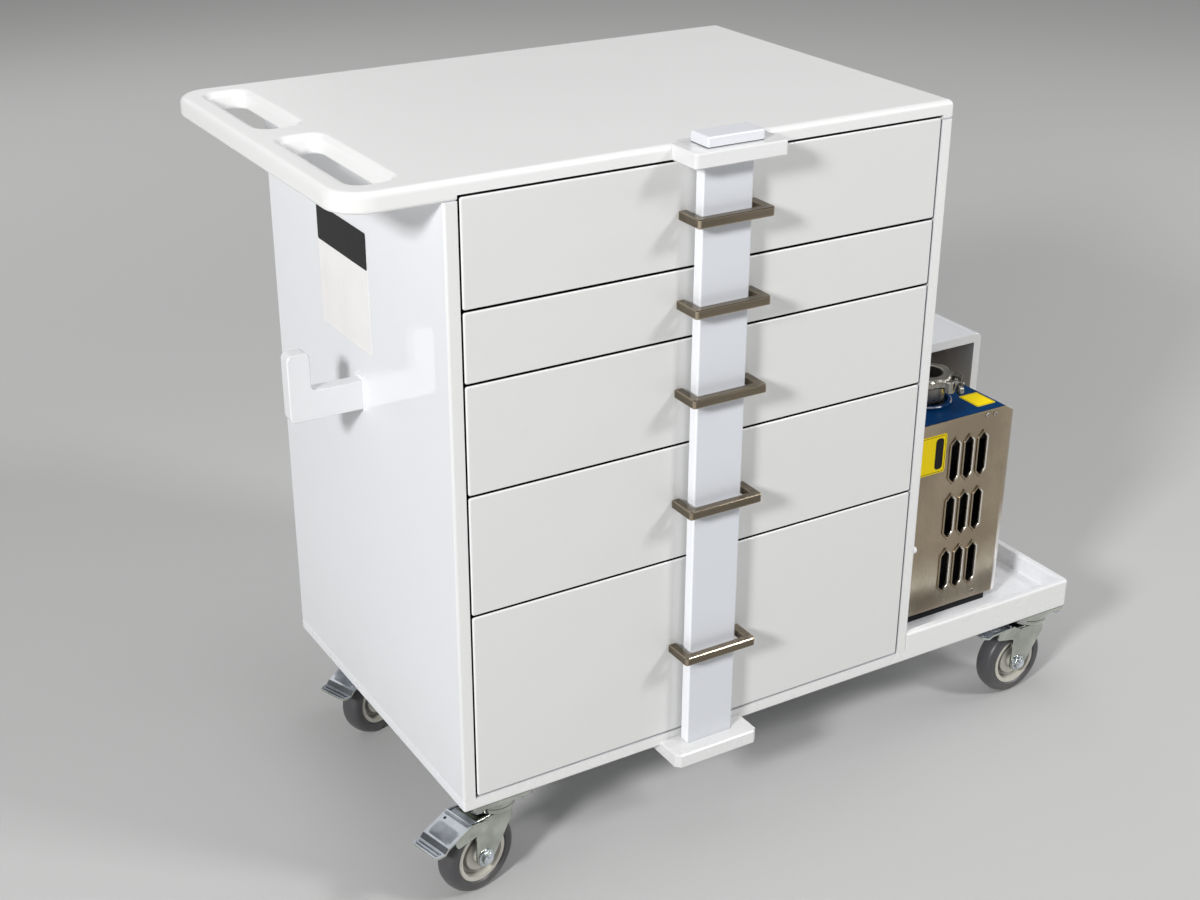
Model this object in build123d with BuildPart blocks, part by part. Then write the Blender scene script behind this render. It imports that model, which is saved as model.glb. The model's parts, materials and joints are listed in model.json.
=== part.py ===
from build123d import *
import os
from math import cos, radians, sin

# Drawer cart: a cabinet of five drawers on four braked swivel casters. A lift-out bar behind the
# drawer pulls locks all the drawers. The top board runs on to the left as a push handle, and the
# base board runs on to the right as a walled tray that carries a vacuum pump under a hood.
# Millimetres. +Z is up, the drawers face -Y, and the origin is on the floor under the middle.

os.makedirs("parts", exist_ok=True)

# Cabinet boards
cabinet_width = 650.0
cabinet_depth = 483.0
panel = 15.0
back_board = 12.0
top_board = 22.0
top_lip = 1.0
edge_round = 3.0
top_round = 7.0
under_round = 4.0
right_corner = 5.0
rebate_height = 6.0
rebate_room = 6.0

# Push handle: the left end of the top board, with two hand slots
push_overhang = 110.0
push_corner = 40.0
slot_width = 45.0
slot_bridge = 46.0
slot_longer = 18.0
slot_from_side = 35.0
slot_from_front = 34.0
slot_from_back = 31.0
slot_corner = 14.0
slot_round = 8.0

# Drawers, listed from the top one down
drawer_heights = (118.0, 78.0, 125.0, 143.0, 235.0)
drawer_gap = 3.0
front_board = 18.0
front_corner = 2.5
front_edge = 1.0
box_back_room = 23.0
box_wall = 10.0
box_below = 12.0
box_above = 16.0
box_edge = 3.0

# Side runners: a channel on the cabinet and a smaller one inside it on the drawer
runner_room = 12.7
runner_depth = 10.0
runner_height = 40.0
runner_sheet = 1.2
runner_fit = 0.4
runner_back_room = 33.0
runner_up = 25.0

# Bow pulls
pull_length = 99.0
pull_grip = 10.0
pull_height = 10.5
pull_corner = 4.0
pull_inner_corner = 2.0
pull_edge = 0.8

# Lock bar with its cap, the yoke that guides it and the socket that holds its foot
drawer_play = 5.0
bar_width = 65.0
bar_thickness = 15.0
bar_edge = 2.5
bar_lead = 1.5
bar_fit = 0.5
bar_to_pull = 9.0
cap_width = 72.0
cap_depth = 34.0
cap_thickness = 12.0
cap_forward = 2.5
cap_edge = 2.0
cap_shadow = 1.2
yoke_width = 118.0
yoke_thickness = 17.0
yoke_nose = 23.5
yoke_seat = 8.0
yoke_corner = 4.0
yoke_edge = 1.5
socket_width = 118.0
socket_thickness = 17.0
socket_drop = 10.0
socket_nose = 19.0
socket_tongue = 40.0
socket_corner = 6.0
keeper_width = 86.0
keeper_depth = 30.0
keeper_thickness = 7.0
keeper_corner = 12.0
foot_gap = 2.0

# Side hook
hook_reach = 90.0
hook_arm = 35.0
hook_prong = 27.0
hook_rise = 82.0
hook_thickness = 19.0
hook_height = 423.0
hook_from_front = 223.0
hook_corner = 7.0
hook_edge = 1.2

# Pump tray and hood
tray_length = 289.0
tray_wall = 12.0
tray_rise = 25.0
tray_corner = 7.0
tray_edge = 3.0
hood_gap = 1.0
hood_wall = 13.0
hood_over_pump = 19.5
hood_front = 205.0
hood_corner = 10.0
hood_edge = 2.0

# Pump
pump_from_side = 18.0
pump_front = 48.0
pump_width = 188.0
pump_depth = 252.0
foot_height = 15.0
foot_inset = 8.0
foot_corner = 14.0
cover_height = 279.0
cover_sheet = 2.0
cover_bend = 20.0
cover_fit = 0.3
cover_slant = (25.0, 15.0)
vent_width = 14.0
vent_length = 62.0
vent_point = 8.0
vent_pitch = (23.5, 81.5)
vent_rows = 3
vent_from_right = 84.7
vent_up = 137.5
casting_gap = 20.0
casting_head = 40.0
boss_radius = 36.0
boss_inner = 30.5
boss_height = 5.0
boss_round = 2.0
boss_from_left = 82.0
boss_from_front = 69.0
inlet_bore = 20.5
inlet_wall = 5.0
inlet_neck = 29.0
inlet_rim = 27.5
inlet_rim_height = 12.0
inlet_lead = 2.0
well_wider = 2.0
well_depth = 10.0
clamp_fit = 0.5
clamp_band = 6.0
clamp_bevel = 2.0
lug_turn = -45.0
lug_length = 12.0
lug_width = 12.0
screw_radius = 3.0
screw_length = 24.0
wing_span = 20.0
wing_sheet = 4.0
wing_height = 9.0
motor_radius = 62.0
motor_length = 110.0
motor_fins = 6
motor_fin = 7.0
motor_fin_sheet = 5.0

# Casters
wheel_radius = 50.8
tyre_width = 28.0
tyre_depth = 16.0
tyre_shoulder = 9.0
tyre_bead = 2.0
rim_width = 25.0
rim_lip = 5.0
rim_web = 10.0
rim_step_radius = 21.0
rim_step_width = 19.0
hub_radius = 11.0
hub_width = 32.0
hub_play = 1.0
axle_radius = 5.0
running_fit = 0.05
nut_radius = 8.0
nut_height = 5.0
axle_end = 2.0
caster_trail = 28.0
fork_sheet = 3.0
fork_bend = 5.0
fork_eye = 13.0
crown_back = 41.0
crown_front = 17.0
apron_drop = 20.0
apron_round = 6.0
crown_clearance = 3.4
cup_radius = 27.0
cup_height = 6.0
raceway_draft = 8.0
dome_radius = 30.0
dome_height = 8.0
swivel_gap = 1.0
kingpin_radius = 6.0
kingpin_end = 2.0
pedal_sheet = 2.5
pedal_fit = 0.4
pedal_behind_pivot = 16.5
pedal_above_pivot = 9.0
pedal_slope = 21.5
pedal_run = 39.0
pedal_step = 5.0
pedal_lip = 13.0
pedal_bend = 2.0
pedal_corner = 6.0
pivot_from_back = 8.0
pivot_down = 9.0
pivot_radius = 2.5
pivot_eye = 7.0
cheek_run = 25.0
cheek_depth = 9.0
cheek_round = 3.5
plate_length = 80.0
plate_width = 62.0
plate_thickness = 5.0
plate_corner = 6.0
plate_bolts = (62.0, 44.0)
bolt_radius = 4.0
bolt_head_radius = 7.5
bolt_head_height = 5.3
bolt_depth = 9.0
bolt_fit = 0.1
front_caster_in = 32.0
back_caster_in = 81.0
# each caster: how far its swivel stands in from the left or right end of the base, and its turn
left_caster_in = (52.0, 87.0)
right_caster_in = 42.0
caster_turns = {"front_left": 13.4, "front_right": 1.3, "back_left": 20.4, "back_right": 8.0}
# how far each brake pedal stands up: the left brakes are on, the right ones are off
pedal_lifts = {"front_left": 0.0, "front_right": 20.0, "back_left": 0.0, "back_right": 20.0}

# Heights and places that follow from the sizes above
opening_height = sum(drawer_heights) + drawer_gap * (len(drawer_heights) + 1)
cabinet_height = panel + opening_height - rebate_height
opening_width = cabinet_width - 2 * panel
front_width = opening_width - 2 * drawer_gap
box_width = opening_width - 2 * runner_room
box_depth = cabinet_depth - front_board - back_board - box_back_room
runner_length = cabinet_depth - front_board - back_board - runner_back_room
base_length = cabinet_width + tray_length
middle = cabinet_width / 2

bar_front = drawer_play + bar_thickness
bar_line = drawer_play + bar_thickness / 2
pull_reach = bar_front + bar_to_pull + pull_grip
yoke_reach = bar_front + bar_fit + yoke_nose
yoke_top = cabinet_height + top_board
yoke_underside = yoke_top - yoke_thickness
socket_reach = bar_front + bar_fit + socket_nose

raceway = cup_height + swivel_gap + dome_height
fork_gap = hub_width + 2 * hub_play
fork_width = fork_gap + 2 * fork_sheet
crown_under = 2 * wheel_radius + crown_clearance
crown_top = crown_under + fork_sheet
crown_length = crown_back + crown_front
apron_floor = crown_top - apron_drop
caster_height = crown_top + raceway + plate_thickness

left = push_overhang - (push_overhang + base_length) / 2
front = yoke_reach - (yoke_reach + cabinet_depth) / 2
bottom = caster_height


def at(x, y, z):
    """Place measured right, back and up from the cabinet's lower front left corner."""
    return (left + x, front + y, bottom + z)


def level(x, y, z):
    """Flat work plane that faces up."""
    return Plane(at(x, y, z))


def upright(x, y, z):
    """Work plane across the cart that faces its front: X to the right, Y up."""
    return Plane(at(x, y, z), x_dir=(1, 0, 0), z_dir=(0, -1, 0))


def keep(piece, name):
    """Name a finished piece and write its file."""
    piece.part.label = name
    export_step(piece.part, f"parts/{name}.step")


corner_at = (Align.MIN, Align.MIN)
above_line = (Align.CENTER, Align.MIN)
below_line = (Align.CENTER, Align.MAX)

# Where the casters stand and which way each wheel points
casters = {
    "front_left": (left_caster_in[0], front_caster_in),
    "front_right": (base_length - right_caster_in, front_caster_in),
    "back_left": (left_caster_in[1], cabinet_depth - back_caster_in),
    "back_right": (base_length - right_caster_in, cabinet_depth - back_caster_in),
}

# Base board, from under the cabinet to the end of the pump tray
with BuildPart() as base_panel:
    with BuildSketch(level(0, 0, 0)):
        Rectangle(base_length, cabinet_depth, align=corner_at)
    extrude(amount=panel)
    fillet(base_panel.edges().filter_by(Axis.Z).group_by(Axis.X)[-1], tray_corner)
    fillet(base_panel.edges().filter_by(Axis.Z).group_by(Axis.X)[0], edge_round)
    fillet(base_panel.faces().sort_by(Axis.Z)[0].edges(), edge_round)
    for x, y in casters.values():
        with BuildSketch(level(x, y, 0)):
            with GridLocations(plate_bolts[0], plate_bolts[1], 2, 2):
                Circle(bolt_radius)
        extrude(amount=bolt_depth, mode=Mode.SUBTRACT)
keep(base_panel, "base_panel")


def side_board(x, outer_face):
    """Side of the cabinet, with its outer front edge rounded."""
    with BuildPart() as board:
        with BuildSketch(level(x, 0, panel)):
            Rectangle(panel, cabinet_depth, align=corner_at)
        extrude(amount=cabinet_height - panel)
        fillet(board.edges().filter_by(Axis.Z).group_by(Axis.X)[outer_face], edge_round)
    return board


left_side = side_board(0, 0)
keep(left_side, "left_side")
right_side = side_board(cabinet_width - panel, -1)
keep(right_side, "right_side")

with BuildPart() as back_panel:
    with BuildSketch(upright(panel, cabinet_depth, panel)):
        Rectangle(opening_width, cabinet_height - panel, align=corner_at)
    extrude(amount=back_board)
keep(back_panel, "back_panel")

# Top board: push handle with hand slots, rebate over the drawers and a notch that seats the yoke
top_length = push_overhang + cabinet_width + top_lip
slot_x = -slot_from_side - slot_width / 2
slots_together = cabinet_depth - slot_from_front - slot_bridge - slot_from_back
slot_lengths = ((slots_together + slot_longer) / 2, (slots_together - slot_longer) / 2)
slot_starts = (slot_from_front, slot_from_front + slot_lengths[0] + slot_bridge)

with BuildPart() as top_panel:
    with BuildSketch(level(-push_overhang, 0, cabinet_height)):
        Rectangle(top_length, cabinet_depth, align=corner_at)
    extrude(amount=top_board)
    fillet(top_panel.edges().filter_by(Axis.Z).group_by(Axis.X)[0], push_corner)
    fillet(top_panel.edges().filter_by(Axis.Z).group_by(Axis.X)[-1], right_corner)
    with BuildSketch(level(slot_x, 0, cabinet_height)):
        for start, length in zip(slot_starts, slot_lengths):
            with Locations((0, start + length / 2)):
                RectangleRounded(slot_width, length, slot_corner)
    extrude(amount=top_board, mode=Mode.SUBTRACT)
    upper = top_panel.faces().sort_by(Axis.Z)[-1]
    fillet([edge for wire in upper.inner_wires() for edge in wire.edges()], slot_round)
    fillet(top_panel.faces().sort_by(Axis.Z)[-1].outer_wire().edges(), top_round)
    fillet(top_panel.faces().sort_by(Axis.Z)[0].edges(), under_round)
    with BuildSketch(level(panel, 0, cabinet_height)):
        Rectangle(opening_width, front_board + rebate_room, align=corner_at)
    extrude(amount=rebate_height, mode=Mode.SUBTRACT)
    with BuildSketch(level(middle, 0, yoke_underside)):
        Rectangle(yoke_width, yoke_seat, align=above_line)
    extrude(amount=top_board, mode=Mode.SUBTRACT)
keep(top_panel, "top_panel")


def drawer_floor(number):
    """Height of the lower edge of a drawer front, counted from the top one."""
    below = drawer_heights[number + 1:]
    return panel + drawer_gap + sum(below) + drawer_gap * len(below)


def channel(width, height, sheet, hand):
    """Section of a runner: a channel whose back is at X = 0 and which opens along hand."""
    with Locations((hand * width / 2, 0)):
        Rectangle(width, height)
    with Locations((hand * (width / 2 + sheet), 0)):
        Rectangle(width, height - 2 * sheet, mode=Mode.SUBTRACT)


# Runner channels on the cabinet sides, one pair to a drawer
with BuildPart() as cabinet_runners:
    for number in range(len(drawer_heights)):
        height = drawer_floor(number) + box_below + runner_up
        for x, hand in ((panel, 1), (cabinet_width - panel, -1)):
            with BuildSketch(upright(x, front_board, height)):
                channel(runner_depth, runner_height, runner_sheet, hand)
            extrude(amount=-runner_length)
keep(cabinet_runners, "cabinet_runners")


def drawer_front(number):
    """Inset front, flush with the cabinet's edges."""
    height = drawer_heights[number]
    with BuildPart() as board:
        with BuildSketch(upright(middle, front_board, drawer_floor(number) + height / 2)):
            RectangleRounded(front_width, height, front_corner)
        extrude(amount=front_board)
        fillet(board.faces().sort_by(Axis.Y)[0].edges(), front_edge)
    return board


def drawer_box(number):
    """Open box behind the front."""
    with BuildPart() as box:
        with BuildSketch(level(middle, front_board, drawer_floor(number) + box_below)):
            Rectangle(box_width, box_depth, align=above_line)
        extrude(amount=drawer_heights[number] - box_below - box_above)
        offset(amount=-box_wall, openings=box.faces().sort_by(Axis.Z)[-1])
        fillet(box.faces().sort_by(Axis.Z)[-1].edges(), box_edge)
    return box


def drawer_runners(number):
    """Pair of runner channels on the box, each inside the cabinet's channel."""
    height = drawer_floor(number) + box_below + runner_up
    inner_height = runner_height - 2 * (runner_sheet + runner_fit)
    inner_depth = runner_room - runner_sheet - runner_fit
    with BuildPart() as pair:
        for hand in (1, -1):
            with BuildSketch(upright(middle + hand * box_width / 2, front_board, height)):
                channel(inner_depth, inner_height, runner_sheet, hand)
            extrude(amount=-runner_length)
    return pair


def drawer_pull(number):
    """Square bow pull at the middle of a drawer front."""
    height = drawer_floor(number) + drawer_heights[number] / 2
    with BuildPart() as pull:
        with BuildSketch(level(middle, 0, height - pull_height / 2)):
            Rectangle(pull_length, pull_reach, align=below_line)
        extrude(amount=pull_height)
        fillet(pull.edges().filter_by(Axis.Z).group_by(Axis.Y)[0], pull_corner)
        with BuildSketch(level(middle, 0, height - pull_height / 2)):
            Rectangle(pull_length - 2 * pull_grip, pull_reach - pull_grip, align=below_line)
        extrude(amount=pull_height, mode=Mode.SUBTRACT)
        inner_line = front + pull_grip - pull_reach
        inner = pull.edges().filter_by(Axis.Z).filter_by(
            lambda edge: abs(edge.center().Y - inner_line) < pull_edge
        )
        fillet(inner, pull_inner_corner)
        rims = pull.faces().sort_by(Axis.Z)
        chamfer(rims[0].edges() + rims[-1].edges(), pull_edge)
    return pull


for number in range(len(drawer_heights)):
    keep(drawer_front(number), f"drawer_{number + 1}_front")
    keep(drawer_box(number), f"drawer_{number + 1}_box")
    keep(drawer_runners(number), f"drawer_{number + 1}_runners")
    keep(drawer_pull(number), f"drawer_{number + 1}_pull")

# Lock bar: it drops through the yoke, behind the pulls, into the socket
bar_foot = foot_gap - socket_drop

with BuildPart() as lock_bar:
    with BuildSketch(level(middle, -bar_line, bar_foot)):
        RectangleRounded(bar_width, bar_thickness, bar_edge)
    extrude(amount=yoke_top - bar_foot)
    chamfer(lock_bar.faces().sort_by(Axis.Z)[0].edges(), bar_lead)
keep(lock_bar, "lock_bar")

with BuildPart() as bar_cap:
    with BuildSketch(level(middle, -bar_line - cap_forward, yoke_top)):
        RectangleRounded(cap_width, cap_depth, cap_edge)
    extrude(amount=cap_thickness)
    chamfer(bar_cap.faces().sort_by(Axis.Z)[0].edges(), cap_shadow)
    fillet(bar_cap.faces().sort_by(Axis.Z)[-1].edges(), cap_edge)
keep(bar_cap, "bar_cap")


def bar_slot(piece_floor, height):
    """Cut the slot that guides the bar."""
    with BuildSketch(level(middle, -bar_line, piece_floor)) as slot:
        RectangleRounded(bar_width + 2 * bar_fit, bar_thickness + 2 * bar_fit, bar_edge)
    extrude(slot.sketch, amount=height, mode=Mode.SUBTRACT)


with BuildPart() as top_yoke:
    with BuildSketch(level(middle, yoke_seat, yoke_underside)):
        Rectangle(yoke_width, yoke_reach + yoke_seat, align=below_line)
    extrude(amount=yoke_thickness)
    fillet(top_yoke.edges().filter_by(Axis.Z).group_by(Axis.Y)[0], yoke_corner)
    for face in (0, -1):
        rim = top_yoke.faces().sort_by(Axis.Z)[face].outer_wire().edges()
        chamfer(rim, yoke_edge)
    bar_slot(yoke_underside, yoke_thickness)
keep(top_yoke, "top_yoke")

# The socket hooks under the base board with a tongue, and the keeper closes it from below
with BuildPart() as bottom_socket:
    with BuildSketch(level(middle, socket_tongue, -socket_drop)):
        Rectangle(socket_width, socket_tongue + socket_reach, align=below_line)
    extrude(amount=socket_drop)
    with BuildSketch(level(middle, 0, -socket_drop)):
        Rectangle(socket_width, socket_reach, align=below_line)
    extrude(amount=socket_thickness)
    chamfer(bottom_socket.edges().filter_by(Axis.Z).group_by(Axis.Y)[0], socket_corner)
    chamfer(bottom_socket.faces().sort_by(Axis.Z)[-1].edges(), yoke_edge)
    bar_slot(-socket_drop, socket_thickness)
keep(bottom_socket, "bottom_socket")

with BuildPart() as socket_keeper:
    with BuildSketch(level(middle, -bar_line, -socket_drop)):
        RectangleRounded(keeper_width, keeper_depth, keeper_corner)
    extrude(amount=-keeper_thickness)
    chamfer(socket_keeper.faces().sort_by(Axis.Z)[0].edges(), cap_shadow)
keep(socket_keeper, "socket_keeper")

# Side hook: an arm that stands out of the left side and turns up
with BuildPart() as side_hook:
    with BuildSketch(upright(0, hook_from_front + hook_thickness, hook_height)):
        Rectangle(hook_reach, hook_rise, align=(Align.MAX, Align.MIN))
        with Locations((0, hook_arm)):
            Rectangle(hook_reach - hook_prong, hook_rise, align=(Align.MAX, Align.MIN), mode=Mode.SUBTRACT)
    extrude(amount=hook_thickness)
    free_ends = side_hook.edges().filter_by(Axis.Y).filter_by(
        lambda edge: edge.center().X < left - hook_edge
    )
    fillet(free_ends, hook_corner)
    for face in (0, -1):
        rim = side_hook.faces().sort_by(Axis.Y)[face].edges()
        chamfer(rim.filter_by(lambda edge: edge.center().X < left - hook_edge), hook_edge)
keep(side_hook, "side_hook")

# Tray wall round the open sides of the base board's right end
with BuildPart() as tray_rim:
    with BuildSketch(level(cabinet_width, 0, panel)):
        Rectangle(tray_length, cabinet_depth, align=corner_at)
        with Locations((0, tray_wall)):
            Rectangle(
                tray_length - tray_wall, cabinet_depth - 2 * tray_wall,
                align=corner_at, mode=Mode.SUBTRACT,
            )
    extrude(amount=tray_rise)
    fillet(tray_rim.edges().filter_by(Axis.Z).group_by(Axis.X)[-1], tray_corner)
    fillet(tray_rim.edges().filter_by(Axis.Z).group_by(Axis.X)[1], tray_edge)
    fillet(tray_rim.faces().sort_by(Axis.Z)[-1].edges().filter_by(
        lambda edge: edge.center().X > left + cabinet_width + tray_edge), tray_edge)
keep(tray_rim, "tray_rim")

# Hood over the pump: a right wall, a top that butts against it and a back
hood_height = foot_height + cover_height + hood_over_pump + hood_wall
hood_right = base_length - tray_wall - hood_gap
hood_back_line = cabinet_depth - tray_wall - hood_gap
hood_depth = hood_back_line - hood_front
hood_span = hood_right - hood_wall - cabinet_width

with BuildPart() as hood_side:
    with BuildSketch(upright(hood_right, hood_back_line, panel)):
        Rectangle(hood_wall, hood_height, align=(Align.MAX, Align.MIN))
    extrude(amount=hood_depth)
    fillet(hood_side.edges().filter_by(Axis.Y).group_by(Axis.Z)[-1].sort_by(Axis.X)[-1], hood_corner)
    fillet(hood_side.edges().filter_by(Axis.Z).group_by(Axis.Y)[0].sort_by(Axis.X)[-1], hood_edge)
keep(hood_side, "hood_side")

with BuildPart() as hood_top:
    with BuildSketch(level(cabinet_width, hood_front, panel + hood_height)):
        Rectangle(hood_span, hood_depth, align=corner_at)
    extrude(amount=-hood_wall)
    fillet(hood_top.edges().filter_by(Axis.X).group_by(Axis.Y)[0].sort_by(Axis.Z)[-1], hood_edge)
keep(hood_top, "hood_top")

with BuildPart() as hood_back:
    with BuildSketch(upright(cabinet_width, hood_back_line, panel)):
        Rectangle(hood_span, hood_height - hood_wall, align=corner_at)
    extrude(amount=hood_wall)
keep(hood_back, "hood_back")

# Pump: a black foot, a slotted sheet cover on it, and a casting inside the cover
pump_left = cabinet_width + pump_from_side
pump_middle = pump_left + pump_width / 2
cover_floor = panel + foot_height
cover_top = cover_floor + cover_height
casting_width = pump_width - 2 * casting_gap
casting_depth = pump_depth - casting_gap

with BuildPart() as pump_foot:
    with BuildSketch(level(pump_middle, pump_front + foot_inset, panel)):
        Rectangle(pump_width - 2 * foot_inset, pump_depth + motor_length - foot_inset, align=above_line)
    extrude(amount=foot_height)
    chamfer(pump_foot.edges().filter_by(Axis.Z), foot_corner)
keep(pump_foot, "pump_foot")


def vent():
    """Outline of one cooling slot, pointed at both ends."""
    half_width = vent_width / 2
    half_length = vent_length / 2
    shoulder = half_length - vent_point
    Polygon(
        (0, half_length), (half_width, shoulder), (half_width, -shoulder),
        (0, -half_length), (-half_width, -shoulder), (-half_width, shoulder),
    )


def slant_corners():
    """Cut both upper corners of the pump at a slant, from front to back."""
    half = pump_width / 2
    with BuildSketch(upright(pump_middle, pump_front, cover_top)) as corners:
        for hand in (1, -1):
            Polygon(
                (hand * half, 0), (hand * half, -cover_slant[1]), (hand * (half - cover_slant[0]), 0),
                align=None,
            )
    extrude(corners.sketch, amount=-pump_depth, mode=Mode.SUBTRACT)


def bent_block(floor, inset, height, mode):
    """Upright block with the rounded front corners of the cover, set in from its outside."""
    with BuildSketch(level(pump_middle, pump_front + inset, floor)) as plan:
        Rectangle(pump_width - 2 * inset, pump_depth - inset, align=above_line)
        fillet(plan.vertices().group_by(Axis.Y)[0], cover_bend - inset)
    extrude(plan.sketch, amount=height, mode=mode)


with BuildPart() as pump_cover:
    bent_block(cover_floor, 0, cover_height, Mode.ADD)
    bent_block(cover_floor, cover_sheet, cover_height, Mode.SUBTRACT)
    slant_corners()
    with BuildSketch(upright(pump_left + pump_width - vent_from_right, pump_front, cover_floor + vent_up)):
        with GridLocations(vent_pitch[0], vent_pitch[1], vent_rows, vent_rows):
            vent()
    extrude(amount=-casting_gap, mode=Mode.SUBTRACT)
keep(pump_cover, "pump_cover")

# Casting: a body behind the slots, a head that fills the cover's mouth and a ring round the inlet
boss_x = pump_left + boss_from_left
boss_y = pump_front + boss_from_front
boss_top = cover_top + boss_height

with BuildPart() as pump_casting:
    with BuildSketch(level(pump_middle, pump_front + casting_gap, cover_floor)):
        Rectangle(casting_width, casting_depth, align=above_line)
    extrude(amount=cover_height)
    bent_block(cover_top - casting_head, cover_sheet + cover_fit, casting_head, Mode.ADD)
    slant_corners()
    with BuildSketch(level(boss_x, boss_y, cover_top)):
        Circle(boss_radius)
    extrude(amount=boss_height)
    fillet(pump_casting.faces().sort_by(Axis.Z)[-1].edges(), boss_round)
    with BuildSketch(level(boss_x, boss_y, boss_top)):
        Circle(boss_inner)
    extrude(amount=-boss_height, mode=Mode.SUBTRACT)
    with BuildSketch(level(boss_x, boss_y, cover_top)):
        Circle(inlet_bore + well_wider)
    extrude(amount=-well_depth, mode=Mode.SUBTRACT)
keep(pump_casting, "pump_casting")

# Inlet flange: a neck with a rim that the clamp closes on
neck_radius = inlet_bore + inlet_wall
rim_start = cover_top + inlet_neck

with BuildPart() as inlet_flange:
    with BuildSketch(level(boss_x, boss_y, cover_top)):
        Circle(neck_radius)
    extrude(amount=inlet_neck)
    with BuildSketch(level(boss_x, boss_y, rim_start)):
        Circle(inlet_rim)
    extrude(amount=inlet_rim_height)
    chamfer(inlet_flange.faces().sort_by(Axis.Z)[-1].edges(), inlet_lead)
    with BuildSketch(level(boss_x, boss_y, cover_top)):
        Circle(inlet_bore)
    extrude(amount=inlet_neck + inlet_rim_height, mode=Mode.SUBTRACT)
keep(inlet_flange, "inlet_flange")

# Clamp ring with a lug, and the wing screw that draws it tight
clamp_inner = inlet_rim + clamp_fit
clamp_outer = clamp_inner + clamp_band
lug_lead = Vector(1, 0, 0).rotate(Axis.Z, lug_turn)
clamp_plan = Plane(at(boss_x, boss_y, rim_start), x_dir=lug_lead, z_dir=(0, 0, 1))
screw_at = clamp_plan.from_local_coords((clamp_outer + lug_length / 2, 0, inlet_rim_height / 2))
screw_plan = Plane(screw_at, x_dir=lug_lead, z_dir=lug_lead.cross(Vector(0, 0, 1)))

with BuildPart() as flange_clamp:
    with BuildSketch(clamp_plan):
        Circle(clamp_outer)
    extrude(amount=inlet_rim_height)
    chamfer(flange_clamp.edges(), clamp_bevel)
    with BuildSketch(clamp_plan):
        with Locations((clamp_outer, 0)):
            Rectangle(2 * lug_length, lug_width)
    extrude(amount=inlet_rim_height)
    with BuildSketch(clamp_plan):
        Circle(clamp_inner)
    extrude(amount=inlet_rim_height, mode=Mode.SUBTRACT)
    with BuildSketch(screw_plan):
        Circle(screw_radius)
    extrude(amount=screw_length - lug_width / 2)
    with BuildSketch(screw_plan.offset(screw_length - lug_width / 2)):
        SlotOverall(wing_span, wing_height)
    extrude(amount=wing_sheet)
keep(flange_clamp, "flange_clamp")

# Motor behind the casting, with ring fins
motor_line = pump_front + pump_depth
motor_height = cover_floor + motor_radius + motor_fin

with BuildPart() as pump_motor:
    with BuildSketch(upright(pump_middle, motor_line, motor_height)):
        Circle(motor_radius)
    extrude(amount=-motor_length)
    for fin in range(motor_fins):
        fin_line = motor_line + motor_length * (fin + 1) / (motor_fins + 1)
        with BuildSketch(upright(pump_middle, fin_line, motor_height)):
            Circle(motor_radius + motor_fin)
        extrude(amount=motor_fin_sheet)
keep(pump_motor, "pump_motor")

# Caster plates: bolted plate with the upper half of the swivel raceway
with BuildPart() as caster_plates:
    for x, y in casters.values():
        with BuildSketch(level(x, y, -plate_thickness)):
            RectangleRounded(plate_length, plate_width, plate_corner)
            with GridLocations(plate_bolts[0], plate_bolts[1], 2, 2):
                Circle(bolt_radius + bolt_fit, mode=Mode.SUBTRACT)
        extrude(amount=plate_thickness)
        with BuildSketch(level(x, y, -plate_thickness)):
            Circle(dome_radius)
        extrude(amount=-dome_height, taper=raceway_draft)
        with BuildSketch(level(x, y, -plate_thickness - dome_height)):
            Circle(kingpin_radius + running_fit)
        extrude(amount=dome_height + kingpin_end, mode=Mode.SUBTRACT)
keep(caster_plates, "caster_plates")

with BuildPart() as caster_bolts:
    for x, y in casters.values():
        with BuildSketch(level(x, y, -plate_thickness)):
            with GridLocations(plate_bolts[0], plate_bolts[1], 2, 2):
                RegularPolygon(bolt_head_radius, 6)
        extrude(amount=-bolt_head_height)
        with BuildSketch(level(x, y, -plate_thickness)):
            with GridLocations(plate_bolts[0], plate_bolts[1], 2, 2):
                Circle(bolt_radius - bolt_fit)
        extrude(amount=plate_thickness + bolt_depth - bolt_fit)
keep(caster_bolts, "caster_bolts")

# Work planes of a caster. Its wheel trails behind the swivel, along the plane's -X
wheel_centre = (-caster_trail, wheel_radius)
pivot_at = (pivot_from_back - crown_back, crown_top - pivot_down)


def heading(name):
    """Direction in which a caster's fork leads."""
    turn = radians(caster_turns[name])
    return Vector(cos(turn), sin(turn), 0)


def caster_floor(name):
    """Floor plane under a swivel, turned with its fork."""
    x, y = casters[name]
    return Plane((left + x, front + y, 0), x_dir=heading(name), z_dir=(0, 0, 1))


def caster_flank(name):
    """Upright plane through a swivel, along its fork: X ahead, Y up, facing out of the wheel."""
    lead = heading(name)
    return Plane(caster_floor(name).origin, x_dir=lead, z_dir=lead.cross(Vector(0, 0, 1)))


def both_sides(flank, gap, sheet):
    """The two planes on which sheets of a given gap start, each built outwards by its sheet."""
    return ((flank.offset(gap / 2), sheet), (flank.offset(-gap / 2), -sheet))


def crown_plan(name, width, inset):
    """Plan of the fork's crown, rounded at its leading corners and set in there by a sheet."""
    with BuildSketch(caster_floor(name).offset(apron_floor)) as plan:
        with Locations((-crown_back, 0)):
            Rectangle(crown_length - inset, width, align=(Align.MIN, Align.CENTER))
        fillet(plan.vertices().group_by(Axis.X)[-1], apron_round - inset)
    return plan.sketch


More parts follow.
